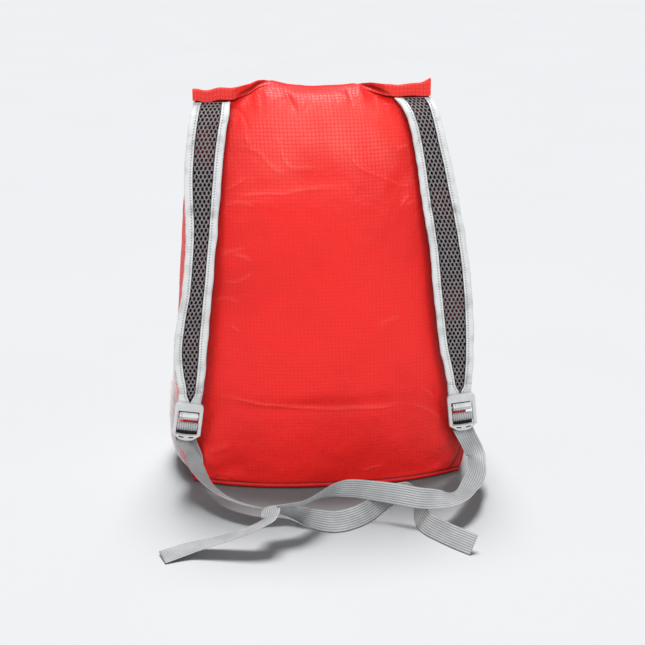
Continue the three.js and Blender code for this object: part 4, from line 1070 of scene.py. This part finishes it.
openingTop = buckle["height"] / 2 - buckle["topPlate"]
strapBarZ = openingTop - buckle["strapBarDrop"]
webbingBarZ = openingTop - buckle["webbingBarDrop"]
openingBottom = buckle["lip"] - buckle["height"] / 2
tab = {"width": 19.0, "thickness": 1.9, "edgeIn": 0.8, "from": 48, "to": 305, "leaveIn": 1.2, "leaveDrop": 0.6,
       "backOut": 1.3, "backDrop": 0.8, "riseOut": 1.9, "riseUp": 3.5, "endOut": 2.1, "endDrop": 1.0}
route = {"slack": 0.9, "footOut": 3.6, "riseOut": 2.4, "riseDrop": 4.5, "from": 12, "to": 250, "leaveIn": 1.8,
         "leaveDrop": 2.2, "lipDrop": 0.6, "anchorLap": 0.03, "anchorGap": 0.9}
anchors = {"left": {"across": 0.955, "up": 0.085, "turn": 0},
           "right": {"across": 0.995, "up": 0.110, "turn": 38}}


# Flat strip carried along stations: its section goes out over one face and back over the other. Ribs
# raise each face by a squared cosine across the width. Dark is a painted shade for each station.
def makeRibbon(name, node, material, centres, across, width, thickness, ribs, ribHeight, dark,
               columns=72):
    along = unit(np.gradient(centres, axis=0))
    side = unit(across - along * (across * along).sum(-1, keepdims=True))
    face = np.cross(along, side)
    x = np.linspace(-0.5, 0.5, columns)
    edge = np.sqrt(np.clip(1 - (np.abs(x) / 0.5) ** 10, 0, 1))
    rib = ribHeight * (np.sin(np.pi * ribs * (x + 0.5)) ** 2 - 0.5) if ribs else 0 * x
    top = edge * (thickness / 2 - ribHeight / 2) + rib * edge
    section = np.concatenate([np.stack([x, -top], -1), np.stack([x, top], -1)[::-1]])
    flat = side[:, None] * section[None, :, :1] * width
    points = centres[:, None] + flat + face[:, None] * section[None, :, 1:]
    length = distancesAlong(centres)
    flatX = np.concatenate([x, x[::-1]]) * width + width / 2
    ribbonMap = mapValues(flatX[None], length[:, None])
    count = 2 * columns
    makePiece(name, points, gridFaces(len(centres), count, closed=True), material, node, ribbonMap,
              caps=endCaps(len(centres), count), tones={"paintedShade": np.repeat(dark, count)})
    return length[-1]


def makeTab(side):
    place, across, up = buckleFrame(side)
    behind = buckle["thickness"] / 2 + buckle["lap"] + strap["thickness"] / 2
    lean = np.radians(abs(strapSides[side]["lean"]))
    start = buckle["height"] / 2 - buckle["topPlate"] / 2 - bag["gap"] - tab["width"] / 2 * np.sin(lean)
    radius = buckle["strapBar"] + buckle["play"] + tab["thickness"] / 2
    way = np.vstack([
        [behind, start], [behind - tab["edgeIn"], openingTop - buckle["lap"]],
        roundBar(strapBarZ, radius, tab["from"], tab["to"]),
        [behind - tab["leaveIn"], strapBarZ - radius - tab["leaveDrop"]],
        [behind + tab["backOut"], strapBarZ - tab["backDrop"]],
        [behind + tab["riseOut"], strapBarZ + tab["riseUp"]], [behind + tab["endOut"], start - tab["endDrop"]],
    ])
    way = spline(way, 6)
    centres = fromFrame(place, up, way)
    # Painted shade on the tape where it runs behind the buckle and in the gap above the bar's roll
    dark = np.maximum(smoothStep(way[:, 1], strapBarZ + radius * 1.0, strapBarZ + radius * 1.3),
                      way[:, 0] > 0.4)
    makeRibbon(f"{side}TabTape", f"{side}_strap_tab", paleTape, centres,
               np.broadcast_to(across, centres.shape), tab["width"], tab["thickness"], 0, 0.0, dark, 24)


# Loose tails: across is a share of the bag's width, out a share of the reach, lift the lower edge's
# height as a share of the webbing's width, turn the roll in degrees
tailReach = 150.0
tails = {
    "left": columns("across out lift turn", [
        [-0.442, 0.060, 1.47, 196], [-0.407, 0.193, 0.86, 210], [-0.337, 0.353, 0.56, 210],
        [-0.236, 0.470, 0.45, 206], [-0.186, 0.483, 0.28, 217], [-0.138, 0.495, 0.10, 240],
        [-0.069, 0.582, 0.03, 272], [0.018, 0.640, 0.02, 300], [0.084, 0.600, 0.02, 302],
        [0.139, 0.519, 0.02, 300], [0.187, 0.413, 0.02, 293], [0.247, 0.305, 0.02, 280],
        [0.290, 0.284, 0.02, 272], [0.309, 0.385, 0.02, 276], [0.307, 0.541, 0.02, 290],
        [0.322, 0.700, 0.02, 304], [0.363, 0.817, 0.02, 302], [0.405, 0.906, 0.02, 306],
        [0.451, 0.993, 0.02, 309],
    ]),
    "right": columns("across out lift turn", [
        [0.550, 0.055, 1.56, 176], [0.546, 0.165, 1.30, 166], [0.536, 0.255, 1.17, 166],
        [0.516, 0.349, 1.08, 160], [0.488, 0.453, 1.00, 154], [0.450, 0.556, 1.18, 178],
        [0.410, 0.611, 1.13, 197], [0.370, 0.627, 1.07, 216], [0.312, 0.623, 0.99, 241],
        [0.239, 0.567, 1.01, 246], [0.153, 0.505, 1.00, 264], [0.080, 0.476, 1.05, 273],
        [0.026, 0.496, 1.12, 291], [-0.006, 0.536, 1.21, 302], [-0.046, 0.615, 1.30, 311],
        [-0.100, 0.705, 1.40, 320], [-0.152, 0.727, 1.50, 328], [-0.190, 0.746, 1.56, 335],
        [-0.200, 0.818, 1.44, 338], [-0.211, 0.846, 1.35, 345], [-0.266, 0.864, 1.03, 350],
        [-0.324, 0.860, 0.75, 353], [-0.385, 0.852, 0.50, 356], [-0.460, 0.851, 0.24, 363],
        [-0.548, 0.903, 0.02, 366],
    ]),
}

# How far a tail's first stretch shows its flat face to the front
faceOn = {"left": 0.0, "right": 0.9}


# Tail stations: a spline through the table's rows, and a width direction rolled about it by the turn
def tailStations(side, start):
    rows = tails[side]
    roll = np.radians(rows["turn"])
    plane = bag["depth"] * strapTable["out"][0]
    halfFlat = np.abs(np.cos(roll)) * webbing["thickness"] / 2
    rise = webbing["width"] * (rows["lift"] + np.abs(np.sin(roll)) / 2) + halfFlat
    points = np.stack([bag["width"] * rows["across"], plane - tailReach * rows["out"], rise], -1)
    curve = spline(np.vstack([start, points]), 8)
    at = np.linspace(0, len(points), len(curve))
    turns = {"at": np.arange(len(points) + 1.0), "turn": np.concatenate([[180], rows["turn"]])}
    along = unit(np.gradient(curve, axis=0))
    level = unit(np.cross(along * [1, 1, 0], [0, 0, 1.0]))
    upright = np.cross(level, along)
    angle = np.radians(readTable(turns, "turn", at))
    shown = np.cross(along, [0.08, -0.94, 0.34])
    differ = np.unwrap(np.arctan2((shown * upright).sum(-1), (shown * level).sum(-1)) - angle, period=np.pi)
    differ -= np.pi * np.round(differ[28] / np.pi)  # half a turn leaves the strip's look as it is
    angle = (angle + faceOn[side] * (1 - smoothStep(at, 2.5, 6.5)) * differ)[:, None]
    across = level * np.cos(angle) + upright * np.sin(angle)
    return curve[3:], across[3:]


def makeWebbingStrap(side):
    place, across, up = buckleFrame(side)
    sign = strapSides[side]["sign"]
    anchor = anchors[side]
    shares = np.array([anchor["up"] - route["anchorLap"], anchor["up"]])
    u = sign * anchor["across"]
    step = 0.004
    normal = unit(np.cross(backPoint(u + step, shares) - backPoint(u - step, shares),
                           backPoint(u, shares + step) - backPoint(u, shares - step)))
    sewn = backPoint(u, shares) + normal * (webbing["thickness"] + route["anchorGap"])
    bend = np.radians(anchor["turn"])
    sewnAcross = np.cross([0, 0, 1.0], normal) * np.cos(bend) - normal * np.sin(bend) * sign
    radius = buckle["webbingBar"] + route["slack"] + webbing["thickness"] / 2
    behind = buckle["thickness"] / 2 + webbing["thickness"] + buckle["lap"] / 2
    foot = -buckle["height"] / 2
    way = np.vstack([
        [behind + route["footOut"], foot], [behind + route["riseOut"], webbingBarZ - route["riseDrop"]],
        roundBar(webbingBarZ, radius, route["from"], route["to"]),
        [behind - route["leaveIn"], webbingBarZ - radius - route["leaveDrop"]],
        [behind, openingBottom - route["lipDrop"]], [behind + buckle["play"], foot],
    ])
    inBuckle = fromFrame(place, up, way)
    tailCentres, tailAcross = tailStations(side, inBuckle[-1])
    head = spline(np.vstack([sewn, inBuckle]), 6)
    headAcross = spline(np.vstack([sewnAcross, np.broadcast_to(across, inBuckle.shape)
                                   + np.arange(len(inBuckle))[:, None] * 1e-5]), 6)
    centres = np.vstack([head, tailCentres])
    rise = (centres - place) @ up
    nearBuckle = np.arange(len(centres)) < len(head) + 2
    low = webbingBarZ - radius
    # Painted shade on the webbing near the buckle, from its foot up to just under the bar's roll, in the
    # buckle's gaps
    dark = nearBuckle * (rise > foot + 1.0) * (1 - smoothStep(rise, low - 1.5, low - 0.7))
    length = makeRibbon(f"{side}WebbingStrap", f"{side}_webbing", greyWebbing, centres,
                        np.vstack([headAcross, tailAcross]), webbing["width"], webbing["thickness"],
                        webbing["ribs"], 0.36, dark)
    print(side, "webbing length", round(length), "mm")


# Near-black plastic of the two slots in a buckle's lip: a painted shade in the slots, mottled at random
def makeSlotShadePlastic():
    material, tree, shader = startMaterial("slotShadePlastic")
    tone = toneGroup(tree, 200.0, 900.0)
    paint(tree, shader, tone.outputs["Patch"], buckle["slotShade"], buckle["slotShadeMottle"])
    wire(tree, shader, {"Roughness": 0.9})
    return material


slotShadePlastic = makeSlotShadePlastic()


# Buckle body: the solid's own faces, with their loose corners joined and their edges rounded as moulded
# plastic has them. The walls of the lip's slots are found by their distance from the slots' centre and get
# the near-black painted shade of the slots.
def makeBuckleBody(side):
    mesh = nodes[f"{side}_buckle"].data.copy()
    work = bmesh.new()
    work.from_mesh(mesh)
    bmesh.ops.remove_doubles(work, verts=work.verts, dist=0.00002)
    bmesh.ops.dissolve_limit(work, angle_limit=np.radians(3), verts=work.verts, edges=work.edges)
    work.to_mesh(mesh)
    work.free()
    mesh.materials.clear()
    mesh.materials.append(hardPlastic)
    mesh.materials.append(slotShadePlastic)
    place, across, up = buckleFrame(side)
    centres, normals = np.zeros((2, len(mesh.polygons) * 3))
    mesh.polygons.foreach_get("center", centres)
    mesh.polygons.foreach_get("normal", normals)
    away = centres.reshape(-1, 3) / mm - place
    wide, high = away @ across, away @ up - buckle["slotCentre"]
    reach, turned = np.hypot(wide, high), np.abs(np.arctan2(wide, -high))
    wall = (reach > buckle["slotFrom"]) & (reach < buckle["slotTo"])
    wall &= np.abs(normals.reshape(-1, 3)[:, 1]) < 0.5
    wall &= (turned > buckle["slotTurn"][0]) & (turned < buckle["slotTurn"][1])
    mesh.polygons.foreach_set("material_index", wall.astype(int))
    mesh.polygons.foreach_set("use_smooth", np.ones(len(mesh.polygons), bool))
    body = addObject(f"{side}BuckleBody", mesh)
    edges = body.modifiers.new("edges", "BEVEL")
    edges.width = buckle["edgeRadius"] * mm
    edges.segments = 3
    edges.limit_method = "ANGLE"
    edges.angle_limit = np.radians(32)
    edges.harden_normals = True
    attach(body, "root")
    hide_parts(f"{side}_buckle")


for side in strapSides:
    makeTab(side)
    makeWebbingStrap(side)
    makeBuckleBody(side)
print("buckles and webbing made")


# The net pocket's sheet at w (0 back, 1 front) and v (0 foot, 1 hem): it hangs out from the side panel along
# the panel's normal
def pocketPoint(w, v, extra=0.0):
    w, v = together(w, v)
    t = pocket["foot"] + v * pocket["height"] / (bag["height"] - bag["rim"])
    swell = np.clip(np.sin(np.pi * w), 0, 1) ** pocket["exponent"]
    hang = pocket["bulge"] * readTable(pocketTable, "out", v) * swell
    return sidePoint(-1, w, t) + leftNormal(w, t) * (bag["gap"] + hang + pocket["stand"] + extra)[..., None]


# Net: two families of slanting threads, each a three-sided prism along a line that lies on the sheet
def makePocket():
    low, high = pocket["margin"], 1 - pocket["margin"]
    spanW, spanV = pocket["across"], pocket["height"]
    pointRows, faceRows, done = [], [], 0
    for slant in (-1, 1):
        pitch = pocket["cell"]
        starts = np.arange(-spanV, spanW + spanV, pitch)
        b = np.arange(0, spanV + pitch / 2, pitch / 2)
        a = starts[:, None] + slant * b[None] * pocket["slope"]
        ok = (a >= 0) & (a <= spanW)
        wobble = pocket["wobble"] * np.sin(2 * np.pi * (a + slant * b[None]) / pitch)
        w = lerp(low, high, np.clip(a + wobble, 0, spanW) / spanW)
        v = np.broadcast_to(np.clip(b / spanV, 0, 1), w.shape)
        middle = pocketPoint(w, v, 0.12 * slant)
        along = unit(np.gradient(middle, axis=1), 1e-9)
        out = np.array([-1.0, 0, 0])
        first = unit(np.cross(along, out), 1e-9)
        second = np.cross(along, first)
        angle = np.radians([90, 210, 330])
        corners = middle[:, :, None] + pocket["thread"] * (np.cos(angle)[:, None] * first[:, :, None]
                                                           + np.sin(angle)[:, None] * second[:, :, None])
        pointRows.append(corners.reshape(-1, 3))
        index = np.arange(w.size).reshape(w.shape) * 3 + done
        both = ok[:, :-1] & ok[:, 1:]
        here, there = index[:, :-1][both], index[:, 1:][both]
        for k in range(3):
            m = (k + 1) % 3
            faceRows.append(np.stack([here + k, here + m, there + m, there + k], -1))
        done += w.size * 3
    points, faces = np.vstack(pointRows), np.vstack(faceRows)
    used, faces = np.unique(faces, return_inverse=True)
    makePiece("pocketNet", points[used], faces.reshape(-1, 4), netThread, "left_side_pocket")
    w = np.linspace(low, high, 60)
    v = np.linspace(1 - pocket["hem"] / pocket["height"], 1, 6)[:, None]
    clothSheet("pocketHem", pocketPoint(w, v, 0.2), netThread, None, 1.0)


makePocket()
print("pocket made")


# Floor, light and air
studio = {"floor": (0.845, 0.862, 0.880, 1), "floorSpot": (0.835, 0.852, 0.870, 1),
          "air": (0.97, 0.985, 1.0, 1), "airStrength": 0.14, "back": 3.01, "left": 0.85, "right": 0.92,
          "top": 0.84}


def makeFloor():
    material, tree, shader = startMaterial("paleFloor")
    tone = put(tree, "ShaderNodeTexNoise", {"Vector": placeNode(tree), "Scale": 3.0, "Detail": 2.0})
    paint(tree, shader, spread(tree, tone.outputs[0], 0.3, 0.7), studio["floor"], studio["floorSpot"])
    wire(tree, shader, {"Roughness": 0.9})
    mesh = bpy.data.meshes.new("floor")
    mesh.from_pydata([(-20, -20, 0), (20, -20, 0), (20, 20, 0), (-20, 20, 0)], [], [(0, 1, 2, 3)])
    mesh.materials.append(material)
    floor = addObject("floor", mesh)
    return floor


# A soft distant lamp: elevation above the level, azimuth round from the strap side (0) to the right (90).
# A lamp with spared things lights all but those.
def makeLamp(name, azimuth, elevation, strength, softness, spared=None):
    data = bpy.data.lights.new(name, "SUN")
    data.energy = strength
    data.angle = np.radians(softness)
    lamp = addObject(name, data)
    a, e = np.radians(azimuth), np.radians(elevation)
    towards = Vector((np.sin(a) * np.cos(e), -np.cos(a) * np.cos(e), np.sin(e)))
    lamp.location = towards * 2
    lamp.rotation_euler = towards.to_track_quat("Z", "Y").to_euler()
    if spared:
        receivers = bpy.data.collections.new(name + "Spares")
        receivers.objects.link(spared)
        receivers.collection_objects[0].light_linking.link_state = "EXCLUDE"
        lamp.light_linking.receiver_collection = receivers


floor = makeFloor()
makeLamp("backLamp", 180, 70, studio["back"], 27)
makeLamp("leftLamp", -36, 34, studio["left"], 24, floor)
makeLamp("rightLamp", 28, 30, studio["right"], 24, floor)
makeLamp("topLamp", -4, 54, studio["top"], 20, floor)
world = bpy.data.worlds.new("studioAir")
world.use_nodes = True
world.node_tree.nodes["Background"].inputs[0].default_value = studio["air"]
world.node_tree.nodes["Background"].inputs[1].default_value = studio["airStrength"]
bpy.context.scene.world = world
bpy.context.scene.view_settings.view_transform = "Standard"
print("studio made")
